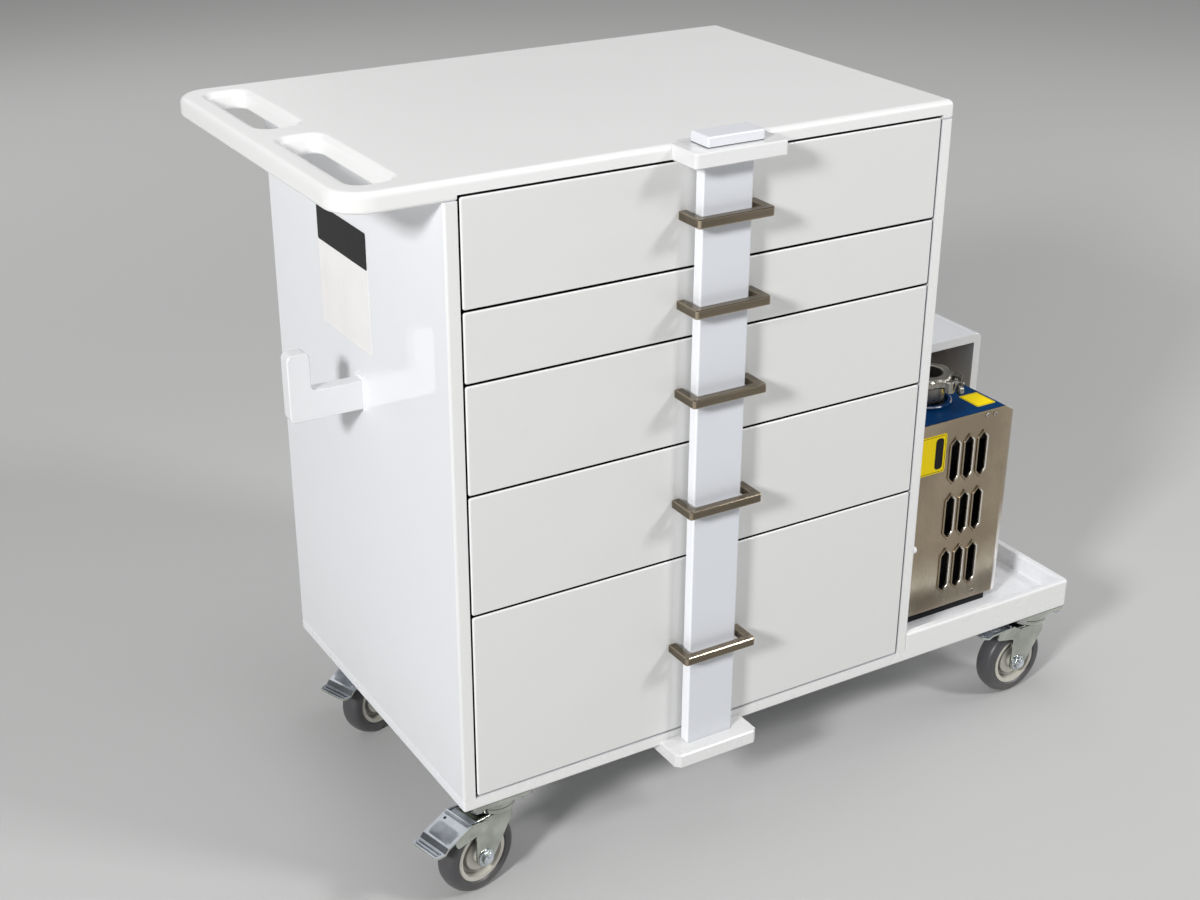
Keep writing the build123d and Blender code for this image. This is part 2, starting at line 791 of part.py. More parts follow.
def fork(name):
    """Pressed fork with an apron at its leading end, axle bolt, kingpin and pedal stubs."""
    flank = caster_flank(name)
    floor = caster_floor(name)
    with BuildPart() as piece:
        extrude(crown_plan(name, fork_width, 0), amount=apron_drop)
        bent = piece.faces().sort_by(Axis.Z)[-1].edges().filter_by(
            lambda edge: floor.to_local_coords(edge.center()).X > fork_sheet - crown_back
        )
        fillet(bent, fork_bend)
        extrude(crown_plan(name, fork_gap, fork_sheet), amount=apron_drop - fork_sheet, mode=Mode.SUBTRACT)
        for plane, sheet in both_sides(flank, fork_gap, fork_sheet):
            with BuildSketch(plane):
                with Locations(wheel_centre):
                    Circle(fork_eye)
                with Locations((-crown_back, apron_floor)):
                    Rectangle(crown_length - apron_round, apron_drop - fork_bend, align=corner_at)
                make_hull()
            extrude(amount=sheet)
        for plane, sheet in both_sides(flank, fork_width, nut_height):
            with BuildSketch(plane):
                with Locations(wheel_centre):
                    RegularPolygon(nut_radius, 6)
            extrude(amount=sheet)
        for plane, sheet in both_sides(flank, fork_width, pedal_fit + pedal_sheet):
            with BuildSketch(plane):
                with Locations(pivot_at):
                    Circle(pivot_radius)
            extrude(amount=sheet)
        with BuildSketch(flank):
            with Locations(wheel_centre):
                Circle(axle_radius)
        extrude(amount=fork_width / 2 + nut_height + axle_end, both=True)
        with BuildSketch(floor.offset(crown_top)):
            Circle(cup_radius)
        extrude(amount=cup_height, taper=raceway_draft)
        with BuildSketch(floor.offset(crown_top)):
            Circle(kingpin_radius)
        extrude(amount=raceway)
    return piece


def wheel_profile_plane(name):
    """Plane through a wheel's axle: X up from the axle, Y along it."""
    lead = heading(name)
    centre = caster_floor(name).from_local_coords((wheel_centre[0], 0, wheel_centre[1]))
    return Plane(centre, x_dir=(0, 0, 1), z_dir=lead)


def axle_line(name):
    """Axis of a wheel."""
    plane = wheel_profile_plane(name)
    return Axis(plane.origin, plane.y_dir)


rim_seat = wheel_radius - tyre_depth


def rim(name):
    """Stepped rim on its hub."""
    half = (
        (axle_radius + running_fit, hub_width / 2),
        (hub_radius, hub_width / 2),
        (hub_radius, rim_step_width / 2),
        (rim_step_radius, rim_step_width / 2),
        (rim_step_radius + rim_lip / 2, rim_web / 2),
        (rim_seat - rim_lip - rim_lip / 2, rim_web / 2),
        (rim_seat - rim_lip, rim_width / 2),
        (rim_seat, rim_width / 2),
    )
    outline = half + tuple((radius, -width) for radius, width in reversed(half))
    with BuildPart() as piece:
        with BuildSketch(wheel_profile_plane(name)):
            Polygon(*outline, align=None)
        revolve(axis=axle_line(name))
    return piece


def tyre(name):
    """Crowned tyre with rounded shoulders."""
    side = tyre_width / 2
    shoulder = (wheel_radius - tyre_shoulder, side)
    bead = (rim_seat + tyre_bead, side)
    seat = (rim_seat, side - tyre_bead)
    tread = (wheel_radius - tyre_bead / 2, side / 2)
    with BuildPart() as piece:
        with BuildSketch(wheel_profile_plane(name)):
            with BuildLine():
                Polyline(seat, bead, shoulder)
                TangentArc(shoulder, tread, tangent=(1, 0))
                ThreePointArc(tread, (wheel_radius, 0), (tread[0], -tread[1]))
                TangentArc((shoulder[0], -side), (tread[0], -tread[1]), tangent=(1, 0))
                Polyline((shoulder[0], -side), (bead[0], -side), (seat[0], -seat[1]), seat)
            make_face()
        revolve(axis=axle_line(name))
    return piece


def pedal_plane(name):
    """Upright plane at a pedal's pivot, along its fork and turned up with the pedal."""
    flank = caster_flank(name)
    pivot = flank.from_local_coords((pivot_at[0], pivot_at[1], 0))
    ahead = flank.x_dir.rotate(Axis(pivot, flank.z_dir), -pedal_lifts[name])
    return Plane(pivot, x_dir=ahead, z_dir=flank.z_dir)


def pedal(name):
    """Bent brake pedal with a stepped lip, whose cheeks turn on stubs of the fork."""
    flank = pedal_plane(name)
    above = Plane(flank.origin, x_dir=flank.x_dir, z_dir=flank.y_dir)
    slope = radians(pedal_slope)
    along = Vector(-cos(slope), -sin(slope))
    rise = Vector(-sin(slope), cos(slope))
    start = Vector(-pedal_behind_pivot, pedal_above_pivot)
    bend = start + along * pedal_run
    step = bend + Vector(-pedal_step, -pedal_step)
    tip = step + Vector(-pedal_lip, 0)
    cheek_top = start + along * cheek_run
    cheek_end = cheek_top - rise * cheek_depth
    pedal_width = fork_width + 2 * (pedal_fit + pedal_sheet)
    with BuildPart() as piece:
        with BuildSketch(flank):
            with BuildLine():
                FilletPolyline((start.X, start.Y), (bend.X, bend.Y), (step.X, step.Y), (tip.X, tip.Y),
                               radius=pedal_bend)
            trace(line_width=pedal_sheet)
        extrude(amount=pedal_width / 2, both=True)
        with BuildSketch(above) as plan:
            with Locations((tip.X, 0)):
                Rectangle(-tip.X, pedal_width, align=(Align.MIN, Align.CENTER))
            fillet(plan.vertices().group_by(Axis.X)[0], pedal_corner)
        extrude(amount=pedal_run, both=True, mode=Mode.INTERSECT)
        for plane, sheet in both_sides(flank, fork_width + 2 * pedal_fit, pedal_sheet):
            with BuildSketch(plane):
                Circle(pivot_eye)
                with Locations((start.X, start.Y), (cheek_top.X, cheek_top.Y)):
                    Circle(pedal_sheet / 2)
                with Locations((cheek_end.X, cheek_end.Y)):
                    Circle(cheek_round)
                make_hull()
            extrude(amount=sheet)
        with BuildSketch(flank):
            Circle(pivot_radius + running_fit)
        extrude(amount=pedal_width, both=True, mode=Mode.SUBTRACT)
    return piece


for name in casters:
    keep(fork(name), f"{name}_fork")
    keep(rim(name), f"{name}_rim")
    keep(tyre(name), f"{name}_tyre")
    keep(pedal(name), f"{name}_pedal")
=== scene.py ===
import json
from math import atan2, cos, pi, radians

import bmesh
import bpy
from bpy.props import FloatProperty, FloatVectorProperty, PointerProperty
from mathutils import Euler, Matrix, Vector


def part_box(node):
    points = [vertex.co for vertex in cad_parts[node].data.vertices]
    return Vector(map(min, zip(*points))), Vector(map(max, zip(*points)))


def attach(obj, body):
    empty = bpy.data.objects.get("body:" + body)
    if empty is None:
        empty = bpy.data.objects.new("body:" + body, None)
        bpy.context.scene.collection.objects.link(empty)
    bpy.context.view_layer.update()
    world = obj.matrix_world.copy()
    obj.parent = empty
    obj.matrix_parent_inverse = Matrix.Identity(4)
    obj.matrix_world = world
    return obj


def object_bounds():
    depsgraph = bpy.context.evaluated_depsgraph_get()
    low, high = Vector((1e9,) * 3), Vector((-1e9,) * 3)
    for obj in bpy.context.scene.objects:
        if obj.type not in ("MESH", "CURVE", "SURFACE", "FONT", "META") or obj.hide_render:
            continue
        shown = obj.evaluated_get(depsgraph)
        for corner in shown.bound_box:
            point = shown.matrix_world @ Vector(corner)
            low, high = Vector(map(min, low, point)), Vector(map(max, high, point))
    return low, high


bl_info = {
    "name": "Drawer cart",
    "version": (1, 0, 0),
    "blender": (4, 5, 0),
    "location": "View3D > Sidebar > Drawer cart",
    "description": "Dresses the solids of a drawer cart with finishes and small fittings",
    "category": "Object",
}

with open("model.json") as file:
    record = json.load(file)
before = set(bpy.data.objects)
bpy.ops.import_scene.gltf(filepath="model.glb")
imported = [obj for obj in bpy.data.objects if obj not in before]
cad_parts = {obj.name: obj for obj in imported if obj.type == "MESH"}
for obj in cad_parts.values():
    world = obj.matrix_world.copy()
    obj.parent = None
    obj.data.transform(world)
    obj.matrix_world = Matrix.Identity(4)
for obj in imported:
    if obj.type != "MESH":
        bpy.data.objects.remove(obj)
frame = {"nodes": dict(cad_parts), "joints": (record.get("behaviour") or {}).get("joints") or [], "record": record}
SOLID_LOW, SOLID_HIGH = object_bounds()
SLOT_OF = {row["node"]: row["material_slot"] for row in frame["record"]["subparts"]}
JOINTS = {joint["name"]: joint for joint in frame["joints"]}
CASTERS = ("front_left", "front_right", "back_left", "back_right")
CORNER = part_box("base_panel")[0]
MM = 0.001


def at(right, back, up):
    """A place from millimetres right, back and up of the base board's lower front left corner."""
    return CORNER + Vector((right, back, up)) * MM


# User values

def colour(name, description, default):
    """A colour that a user would change."""
    return FloatVectorProperty(
        name=name, description=description, default=default, subtype="COLOR", min=0.0, max=1.0
    )


def length(name, description, default):
    """A size that a user would change, in millimetres here."""
    return FloatProperty(
        name=name, description=description, default=default * MM, min=0.0, unit="LENGTH", precision=4
    )


class CartColours(bpy.types.PropertyGroup):
    """Colours of the cart's finishes."""

    board_white: colour("Board white", "Gloss boards", (0.88, 0.893, 0.925))
    top_white: colour("Top white", "Satin worktop", (0.82, 0.82, 0.815))
    front_grey: colour("Front grey", "Drawer fronts", (0.725, 0.727, 0.718))
    # Painted shade: the hood's inside is coloured dark in place of its shade.
    hood_inside_shade: colour("Hood lining", "Inside of the hood", (0.075, 0.073, 0.070))
    # Painted shade: near black in place of the shade behind the drawer fronts, inside the cabinet and under the
    # lock bar's cap.
    painted_gap_shade: colour("Gap dark", "Edges behind the drawer fronts", (0.012, 0.012, 0.012))
    box_white: colour("Box white", "Drawer boxes", (0.78, 0.78, 0.77))
    runner_steel: colour("Runner steel", "Drawer runners", (0.62, 0.63, 0.64))
    pull_bronze: colour("Pull bronze", "Drawer pulls", (0.195, 0.163, 0.12))
    fitting_white: colour("Fitting white", "Yoke and socket", (0.81, 0.81, 0.812))
    cap_white: colour("Cap white", "Cap of the lock bar", (0.80, 0.815, 0.86))
    bar_white: colour("Bar white", "Lock bar", (0.69, 0.71, 0.755))
    hook_white: colour("Hook white", "Hook", (0.80, 0.81, 0.825))
    patch_white: colour("Patch white", "Blank film on the left side", (0.86, 0.845, 0.835))
    patch_dark: colour("Patch dark", "Dark film on side and pump", (0.012, 0.012, 0.013))
    foot_black: colour("Foot black", "Pump foot", (0.009, 0.009, 0.012))
    cover_steel: colour("Cover steel", "Brushed cover of the pump", (0.42, 0.342, 0.245))
    # Painted highlight on the right side of each slot's rim.
    vent_highlight: colour("Vent shine", "Bright side of the slots' rims", (0.80, 0.77, 0.72))
    screw_steel: colour("Screw steel", "Cover screws", (0.42, 0.39, 0.35))
    casting_blue: colour("Casting blue", "Enamel of the casting", (0.002, 0.035, 0.120))
    plate_yellow: colour("Plate yellow", "Blank plates on the pump", (1.0, 0.74, 0.004))
    inlet_steel: colour("Inlet steel", "Turned inlet", (0.33, 0.31, 0.275))
    clamp_grey: colour("Clamp grey", "Clamp ring", (0.40, 0.385, 0.335))
    jaw_grey: colour("Jaw grey", "Cast clamp jaws", (0.46, 0.44, 0.385))
    bolt_bright: colour("Bolt bright", "Clamp bolt and pin", (0.80, 0.79, 0.75))
    motor_grey: colour("Motor grey", "Enamel of the motor", (0.16, 0.17, 0.18))
    zinc: colour("Zinc", "Caster forks", (0.56, 0.59, 0.53))
    pedal_zinc: colour("Pedal zinc", "Brake pedals", (0.66, 0.70, 0.76))
    bolt_steel: colour("Bolt steel", "Caster plate bolts", (0.52, 0.53, 0.55))
    nut_zinc: colour("Nut zinc", "Axle washers and nuts", (0.78, 0.84, 0.90))
    rim_cream: colour("Rim cream", "Caster rims", (0.62, 0.60, 0.53))
    tyre_grey: colour("Tyre grey", "Tyres", (0.066, 0.064, 0.068))
    # The pedal eyes in this colour are painted shade for their holes.
    seal_black: colour("Seal black", "Swivel seals and pedal eyes", (0.02, 0.02, 0.022))


class CartSizes(bpy.types.PropertyGroup):
    """Sizes of the added fittings."""

    patch_height: length("Patch height", "Height of the film on the left side", 143.0)
    patch_depth: length("Patch depth", "Depth of the film on the left side", 136.0)
    patch_band: length("Patch band", "Height of the film's dark band", 43.0)
    cover_plate_width: length("Cover plate width", "Width of the plate on the cover", 52.0)
    cover_plate_height: length("Cover plate height", "Height of the plate on the cover", 55.0)
    lid_plate_width: length("Lid plate width", "Width of the plate on the casting", 31.0)
    lid_plate_depth: length("Lid plate depth", "Depth of the plate on the casting", 38.0)
    vent_pitch: length("Vent pitch", "Spacing of the slots in a row", 23.5)
    vent_row: length("Vent row", "Spacing of the rows of slots", 81.5)
    vent_rim: length("Vent rim", "Width of the rim round a slot", 2.6)


class CartStage(bpy.types.PropertyGroup):
    """Camera, even light and floor."""

    eye: FloatVectorProperty(
        name="Camera place", description="Where the camera stands", subtype="XYZ", unit="LENGTH",
        default=(-1.1434, -1.7294, 1.3694),
    )
    aim: FloatVectorProperty(
        name="Camera turn", description="How the camera is turned", subtype="EULER",
        default=(radians(64.963), radians(-0.222), radians(-30.927)),
    )
    lens: FloatProperty(
        name="Lens", description="Focal length in millimetres", default=53.278, min=10.0, max=200.0
    )
    world_level: FloatProperty(
        name="World level", description="Strength of the even light", default=0.16, min=0.0
    )
    floor: colour("Floor", "Pale studio floor", (0.56, 0.56, 0.555))


# Materials

FLOOR_DUST = (0.52, 0.50, 0.46)
TYRE_DUST = (0.33, 0.31, 0.28)
# The next four tones are painted highlights: on board edges, on the drawer fronts' rims, at the pump cover's foot
# and on its bends.
EDGE_HIGHLIGHT = (0.97, 0.975, 0.99)
RIM_HIGHLIGHT = (0.98, 0.98, 0.98)
FOOT_HIGHLIGHT = (0.66, 0.60, 0.49)
BEND_HIGHLIGHT = (0.98, 0.96, 0.93)
ZINC_STAIN = (0.22, 0.21, 0.18)
# Grime with painted shade in zinc recesses, and edges that are worn and carry a painted highlight.
ZINC_GRIME_AND_SHADE = (0.05, 0.05, 0.048)
ZINC_EDGE_WEAR_AND_HIGHLIGHT = (0.90, 0.92, 0.90)
WORN_BARE = (0.58, 0.60, 0.66)
UNLIT = (0.004, 0.004, 0.004)

PLAIN_IOR = 1.5
MIRROR_IOR = 1.85
MASK_EDGE = 0.6 * MM
FITTING_PEEL = 0.1 * MM
BOARD_EDGE = 6.0 * MM


class Wire:
    """A value in a finish. Arithmetic on it adds Math nodes."""

    def __init__(self, finish, socket):
        self.finish = finish
        self.socket = socket

    def __add__(self, other):
        return self.finish.math("ADD", self, other)

    def __radd__(self, other):
        return self.finish.math("ADD", other, self)

    def __sub__(self, other):
        return self.finish.math("SUBTRACT", self, other)

    def __rsub__(self, other):
        return self.finish.math("SUBTRACT", other, self)

    def __mul__(self, other):
        return self.finish.math("MULTIPLY", self, other)

    def __rmul__(self, other):
        return self.finish.math("MULTIPLY", other, self)


class Finish:
    """One material, with one way to add a node to it."""

    def __init__(self, name):
        self.material = bpy.data.materials.new(name)
        self.material.use_nodes = True
        self.tree = self.material.node_tree
        self.shader = self.tree.nodes["Principled BSDF"]
        self.place = None
        self.shown = None

    def feed(self, socket, value):
        """Link a wire to a socket, or set a plain value on it."""
        if isinstance(value, Wire):
            self.tree.links.new(value.socket, socket)
        elif socket.type == "RGBA":
            socket.default_value = (*value[:3], 1.0)
        else:
            socket.default_value = value

    def node(self, kind, settings=None, sockets=None, out=0):
        """Add a node: settings first, then the values or links of its sockets."""
        made = self.tree.nodes.new("ShaderNode" + kind)
        for key, value in (settings or {}).items():
            setattr(made, key, value)
        for key, value in (sockets or {}).items():
            self.feed(made.inputs[key], value)
        return Wire(self, made.outputs[out])

    def math(self, operation, first, second=0.0):
        """One step of arithmetic."""
        return self.node("Math", {"operation": operation}, {0: first, 1: second})

    def vector(self, operation, first, second, out=0):
        """One step of arithmetic on vectors or colours."""
        return self.node("VectorMath", {"operation": operation}, {0: first, 1: second}, out)

    def part(self, vector, axis):
        """One coordinate of a vector."""
        return self.node("SeparateXYZ", None, {0: vector}, axis)

    def ease(self, value, low, high, start=0.0, end=1.0):
        """Ease a value from start to end as it goes from low to high."""
        return self.node(
            "MapRange", {"interpolation_type": "SMOOTHSTEP"},
            {"Value": value, "From Min": low, "From Max": high, "To Min": start, "To Max": end},
        )

    def spot(self):
        """Object coordinates, in metres."""
        if self.place is None:
            self.place = self.node("TexCoord", out="Object")
        return self.place

    def along(self, axis):
        """One object coordinate."""
        return self.part(self.spot(), axis)

    def reach(self, centre):
        """Distance from an upright axis."""
        flat = self.vector("SUBTRACT", self.spot(), (*centre, 0.0))
        flat = self.vector("MULTIPLY", flat, (1.0, 1.0, 0.0))
        return self.node("VectorMath", {"operation": "LENGTH"}, {0: flat}, "Value")

    def within(self, low, high):
        """1 between two corners and 0 outside them."""
        share = 1.0
        for axis, least, most in zip("XYZ", low, high):
            value = self.along(axis)
            above = self.ease(value, least - MASK_EDGE, least)
            share = above * self.ease(value, most + MASK_EDGE, most) * share
        return share

    def noise(self, scale, detail, stretch=None):
        """Cloudy noise from 0 to 1, stretched by axis."""
        spot = self.spot()
        if stretch:
            spot = self.node("Mapping", None, {"Vector": spot, "Scale": stretch})
        return self.node("TexNoise", None, {"Vector": spot, "Scale": scale, "Detail": detail})

    def facing(self):
        """The face's own direction."""
        return self.node("NewGeometry", out="Normal")

    def rounded(self, radius):
        """The direction that a face would have with rounded edges."""
        return self.node("Bevel", {"samples": 6}, {"Radius": radius})

    def turned_to(self, direction):
        """1 on faces that look in a direction and 0 across it."""
        return self.vector("DOT_PRODUCT", self.facing(), direction, "Value")

    def edges(self, radius):
        """1 along sharp edges and 0 on flat faces."""
        return self.ease(self.turned_to(self.rounded(radius)), 0.985, 0.90)

    def rounds(self):
        """1 on rounds between upright and level faces and 0 on those."""
        parts = [self.part(self.facing(), axis) for axis in "XYZ"]
        most = 0.0
        for first, second in ((0, 1), (1, 2), (2, 0)):
            share = self.math("ABSOLUTE", parts[first] * parts[second])
            most = self.math("MAXIMUM", share, most)
        return self.ease(most, 0.10, 0.34)

    def hollow(self, reach):
        """1 deep in a recess and 0 in the open."""
        return 1.0 - self.node("AmbientOcclusion", {"samples": 8}, {"Distance": reach}, "AO")

    def blend(self, share, first, second):
        """Mix two colours."""
        return self.node("Mix", {"data_type": "RGBA"}, {0: share, 6: first, 7: second}, 2)

    def vary(self, share, base, low, high):
        """Start with a colour that goes from its low tone to its high tone."""
        self.shown = self.blend(share, tone(base, low), tone(base, high))

    def lay(self, share, tint):
        """Lay a colour over those so far, by a share."""
        self.shown = self.blend(share, self.shown, tint)

    def shift(self, factor):
        """Make the colours so far lighter or darker by a factor."""
        grey = self.node("CombineXYZ", None, {0: factor, 1: factor, 2: factor})
        self.shown = self.vector("MULTIPLY", self.shown, grey)

    def raised(self, height, depth, strength):
        """A bump whose full height is depth metres."""
        return self.node("Bump", None, {"Strength": strength, "Distance": depth, "Height": height})

    def shade(self, **sockets):
        """Link the colours so far, and set or link other sockets by name, with _ for a space."""
        for key, value in {"Base_Color": self.shown, **sockets}.items():
            self.feed(self.shader.inputs[key.replace("_", " ")], value)
        return self.material


def tone(base, factor):
    """A lighter or darker tone of a colour."""
    return tuple(min(1.0, part * factor) for part in base[:3])


def gloss_board(name, base, rough, peel, mirror=False, shade_boxes=(), sides=(), edge=0.0):
    """Gloss board: faint orange peel, soft smears in the gloss, a little floor dust, painted highlights on its
    edges.

    A shade box is two corners and the painted shade between them. A side is a direction and the tone of faces
    there, which paints the light that falls on them.
    """
    finish = Finish(name)
    smear = finish.noise(9.0, 4.0, (1.0, 1.0, 0.35))
    dust = finish.ease(finish.along("Z"), 0.32, 0.12) * finish.noise(26.0, 5.0)
    finish.vary(finish.noise(3.0, 3.0), base, 0.985, 1.012)
    finish.lay(dust * 0.16, FLOOR_DUST)
    if edge:
        # Painted highlight along the edges.
        finish.lay(finish.edges(edge) * 0.8, EDGE_HIGHLIGHT)
    # Painted light by facing: the faces of each side take a tone for how light falls on them.
    for direction, band in sides:
        finish.lay(finish.ease(finish.turned_to(direction), 0.35, 0.60), band)
    # Painted shade between the corners of each shade box.
    for low, high, inner in shade_boxes:
        finish.lay(finish.within(low, high), inner)
    smeared = finish.ease(smear, 0.45, 0.75, rough, rough * 1.12 + 0.004)
    return finish.shade(
        Roughness=smeared + dust * 0.15,
        Normal=finish.raised(finish.noise(240.0, 1.0), peel, 0.25),
        Specular_IOR_Level=1.0 if mirror else 0.6,
        IOR=MIRROR_IOR if mirror else PLAIN_IOR,
    )


def satin_board(name, base, rough, face=None, unlit=None):
    """Satin laminate: a fine pebbled grain and faint scuffs.

    With a face, its rim there gets a painted highlight at the top and the left, and its edges behind it get
    painted shade.
    """
    finish = Finish(name)
    scuff = finish.ease(finish.noise(26.0, 6.0, (1.0, 0.16, 1.0)), 0.62, 0.78)
    finish.vary(finish.noise(2.2, 3.0), base, 0.985, 1.012)
    finish.lay(scuff * 0.06, tone(base, 0.80))
    if face is not None:
        # Painted highlight on the rim at the top and the left.
        rounded = finish.rounded(5.0 * MM)
        rim = finish.part(rounded, "Z") - finish.part(rounded, "X")
        finish.lay(finish.ease(rim, 0.18, 0.45), RIM_HIGHLIGHT)
        # Painted shade on the edges behind the face.
        finish.lay(finish.ease(finish.along("Y"), face + 0.7 * MM, face + 2.2 * MM), unlit)
    return finish.shade(
        Roughness=rough + scuff * 0.08 + finish.noise(14.0, 3.0) * 0.05,
        Normal=finish.raised(finish.noise(900.0, 2.0), 0.05 * MM, 0.4),
    )


def brushed_metal(name, base, rough, stretch, depth, streak, cloudy, edge, foot=None):
    """Brushed metal: long fine streaks over a cloudy tone, with edges lightened as wear and as a painted
    highlight.

    With a foot height it is a cover, with a painted highlight at its foot and on its upright bends. Without,
    its rounds get a painted highlight too.
    """
    finish = Finish(name)
    fine = finish.noise(1.0, 2.0, tuple(part * 900.0 for part in stretch))
    broad = finish.noise(1.0, 3.0, tuple(part * 120.0 for part in stretch))
    cloud = finish.ease(finish.noise(9.0, 4.0), 0.36, 0.66)
    streaks = fine * 0.5 + broad * 0.5
    finish.vary(streaks, base, 1.0 - streak, 1.0 + streak)
    finish.lay(cloud * cloudy, tone(base, 0.55))
    # Edges, and the rounds of a piece that is not a cover, are lightened as wear and as a painted highlight.
    worn = finish.edges(edge)
    if foot is None:
        worn = finish.math("MAXIMUM", worn, finish.rounds())
    else:
        # Painted highlight at the cover's foot and on its upright bends.
        height = finish.along("Z")
        low = finish.ease(height, foot + 0.10, foot + 0.03) * finish.ease(cloud, 0.9, 0.2, 0.45, 1.0)
        finish.lay(low * 0.85, FOOT_HIGHLIGHT)
        bend_highlight = finish.ease(finish.math("ABSOLUTE", finish.part(finish.facing(), "X")), 0.08, 0.22)
        lower = finish.ease(height, foot + 0.15, foot + 0.07)
        finish.lay(bend_highlight * 0.9, finish.blend(lower, tone(base, 0.9), BEND_HIGHLIGHT))
    finish.lay(worn * 0.75, tone(base, 2.4))
    gloss = finish.ease(streaks, 0.3, 0.7, rough - 0.03, rough + 0.04)
    return finish.shade(
        Metallic=1.0,
        Roughness=gloss + cloud * 0.05 - worn * 0.06,
        Normal=finish.raised(fine, depth, 0.35),
    )


def plated_metal(name, base, rough, spangle, grime=0.12, side=None, bright=0.7, recess=0.75):
    """Zinc plate: a soft spangle, cloudy gloss, edges lightened as wear and as a painted highlight, and grime with
    painted shade in the recesses.

    With a side colour, its upright faces have that tone.
    """
    finish = Finish(name)
    cell = finish.node("TexVoronoi", None, {"Vector": finish.spot(), "Scale": spangle}, "Color")
    cloud = finish.noise(30.0, 4.0)
    stain = finish.ease(finish.noise(52.0, 5.0), 0.56, 0.78) * grime
    edge = finish.edges(0.9 * MM)
    finish.shown = base
    if side is not None:
        level = finish.math("ABSOLUTE", finish.part(finish.facing(), "Z"))
        finish.lay(finish.ease(level, 0.45, 0.25), side)
    spangled = finish.ease(finish.part(cell, "X"), 0.0, 1.0, 0.95, 1.04)
    finish.shift(spangled * finish.ease(cloud, 0.3, 0.7, 0.78, 1.12))
    finish.lay(stain, ZINC_STAIN)
    # Grime with painted shade in the recesses.
    finish.lay(finish.hollow(12.0 * MM) * recess, ZINC_GRIME_AND_SHADE)
    # Edges lightened as wear and as a painted highlight.
    finish.lay(edge * bright, ZINC_EDGE_WEAR_AND_HIGHLIGHT)
    gloss = finish.ease(cloud, 0.3, 0.7, rough - 0.05, rough + 0.07)
    return finish.shade(
        Metallic=1.0,
        Roughness=gloss + stain * 0.4 - edge * 0.05,
        Normal=finish.raised(cloud, 0.06 * MM, 0.2),
    )


def rim_metal(name, base, shine, middle, pitch):
    """Pressed rims of slots in a row: plain left of each slot, a painted highlight right of it and painted shade
    outside.
    """
    finish = Finish(name)
    streaks = finish.noise(1.0, 2.0, (900.0, 900.0, 18.0))
    turn = (finish.along("X") - middle) * (1.0 / pitch) + 0.5
    off = (finish.math("FRACT", turn) - 0.5) * pitch
    finish.vary(streaks, base, 0.9, 1.1)
    # Painted highlight right of each slot, then painted shade outside the rim.
    finish.lay(finish.ease(off, 2.0 * MM, 6.0 * MM), shine)
    finish.lay(finish.ease(off, 8.6 * MM, 9.4 * MM), tone(base, 0.15))
    return finish.shade(
        Metallic=1.0,
        Roughness=finish.ease(streaks, 0.3, 0.7, 0.22, 0.30),
        Normal=finish.raised(streaks, 0.01 * MM, 0.35),
    )


def turned_metal(name, base, rough, centre):
    """Turned metal: fine rings about an upright axis."""
    finish = Finish(name)
    rings = finish.node(
        "TexNoise", {"noise_dimensions": "1D"},
        {"W": finish.reach(centre) + finish.along("Z"), "Scale": 2400.0, "Detail": 2.0},
    )
    finish.vary(rings, base, 0.80, 1.12)
    return finish.shade(
        Metallic=1.0,
        Roughness=finish.ease(finish.noise(40.0, 3.0), 0.3, 0.7, rough, rough + 0.12),
        Normal=finish.raised(rings, 0.03 * MM, 0.5),
    )


def enamel(name, base, rough, coat, floor=None, ring=None):
    """Sprayed enamel over a casting: soft waves under a clear gloss.

    Below a floor height the casting is unlit, and round a ring its edge is worn to bare metal.
    """
    finish = Finish(name)
    cloud = finish.noise(16.0, 3.0)
    finish.vary(cloud, base, 0.85, 1.18)
    bare = 0.0
    if floor is not None:
        finish.lay(finish.ease(finish.along("Z"), floor, floor - 4.0 * MM), UNLIT)
    if ring is not None:
        centre, radius, height = ring
        away = finish.reach(centre)
        bare = finish.ease(away, radius - 2.2 * MM, radius - 1.2 * MM)
        bare = bare * finish.ease(away, radius + 2.0 * MM, radius + 0.5 * MM)
        bare = bare * finish.ease(finish.along("Z"), height - 2.2 * MM, height - 1.0 * MM)
        bare = bare * finish.ease(finish.noise(45.0, 3.0), 0.40, 0.56)
        finish.lay(bare, WORN_BARE)
    return finish.shade(
        Metallic=bare,
        Roughness=finish.ease(cloud, 0.3, 0.7, rough, rough + 0.10),
        Normal=finish.raised(finish.noise(95.0, 3.0), 0.25 * MM, 0.3),
        Specular_IOR_Level=0.04,
        Coat_Weight=coat,
        Coat_Roughness=0.15,
    )


def moulding(name, base, rough, grain=420.0, depth=0.06 * MM, dirt=0.2, high=0.09, grime=0.0, shine=0.5):
    """Moulded plastic or rubber: fine grain, scuffs, dust up to a height and grime with painted shade in the
    recesses.
    """
    finish = Finish(name)
    fine = finish.noise(grain, 3.0)
    scuff = finish.ease(finish.noise(48.0, 6.0), 0.54, 0.74)
    dust = finish.ease(finish.along("Z"), high, 0.0) * finish.noise(60.0, 4.0)
    finish.vary(fine, base, 0.94, 1.05)
    finish.lay(scuff * dirt, tone(base, 0.70))
    finish.lay(dust * dirt, TYRE_DUST)
    # Grime with painted shade in the recesses.
    if grime:
        finish.lay(finish.ease(finish.hollow(16.0 * MM), 0.15, 0.75) * grime, tone(base, 0.10))
    return finish.shade(
        Roughness=rough + scuff * 0.10,
        Normal=finish.raised(fine, depth, 0.5),
        Specular_IOR_Level=shine,
    )


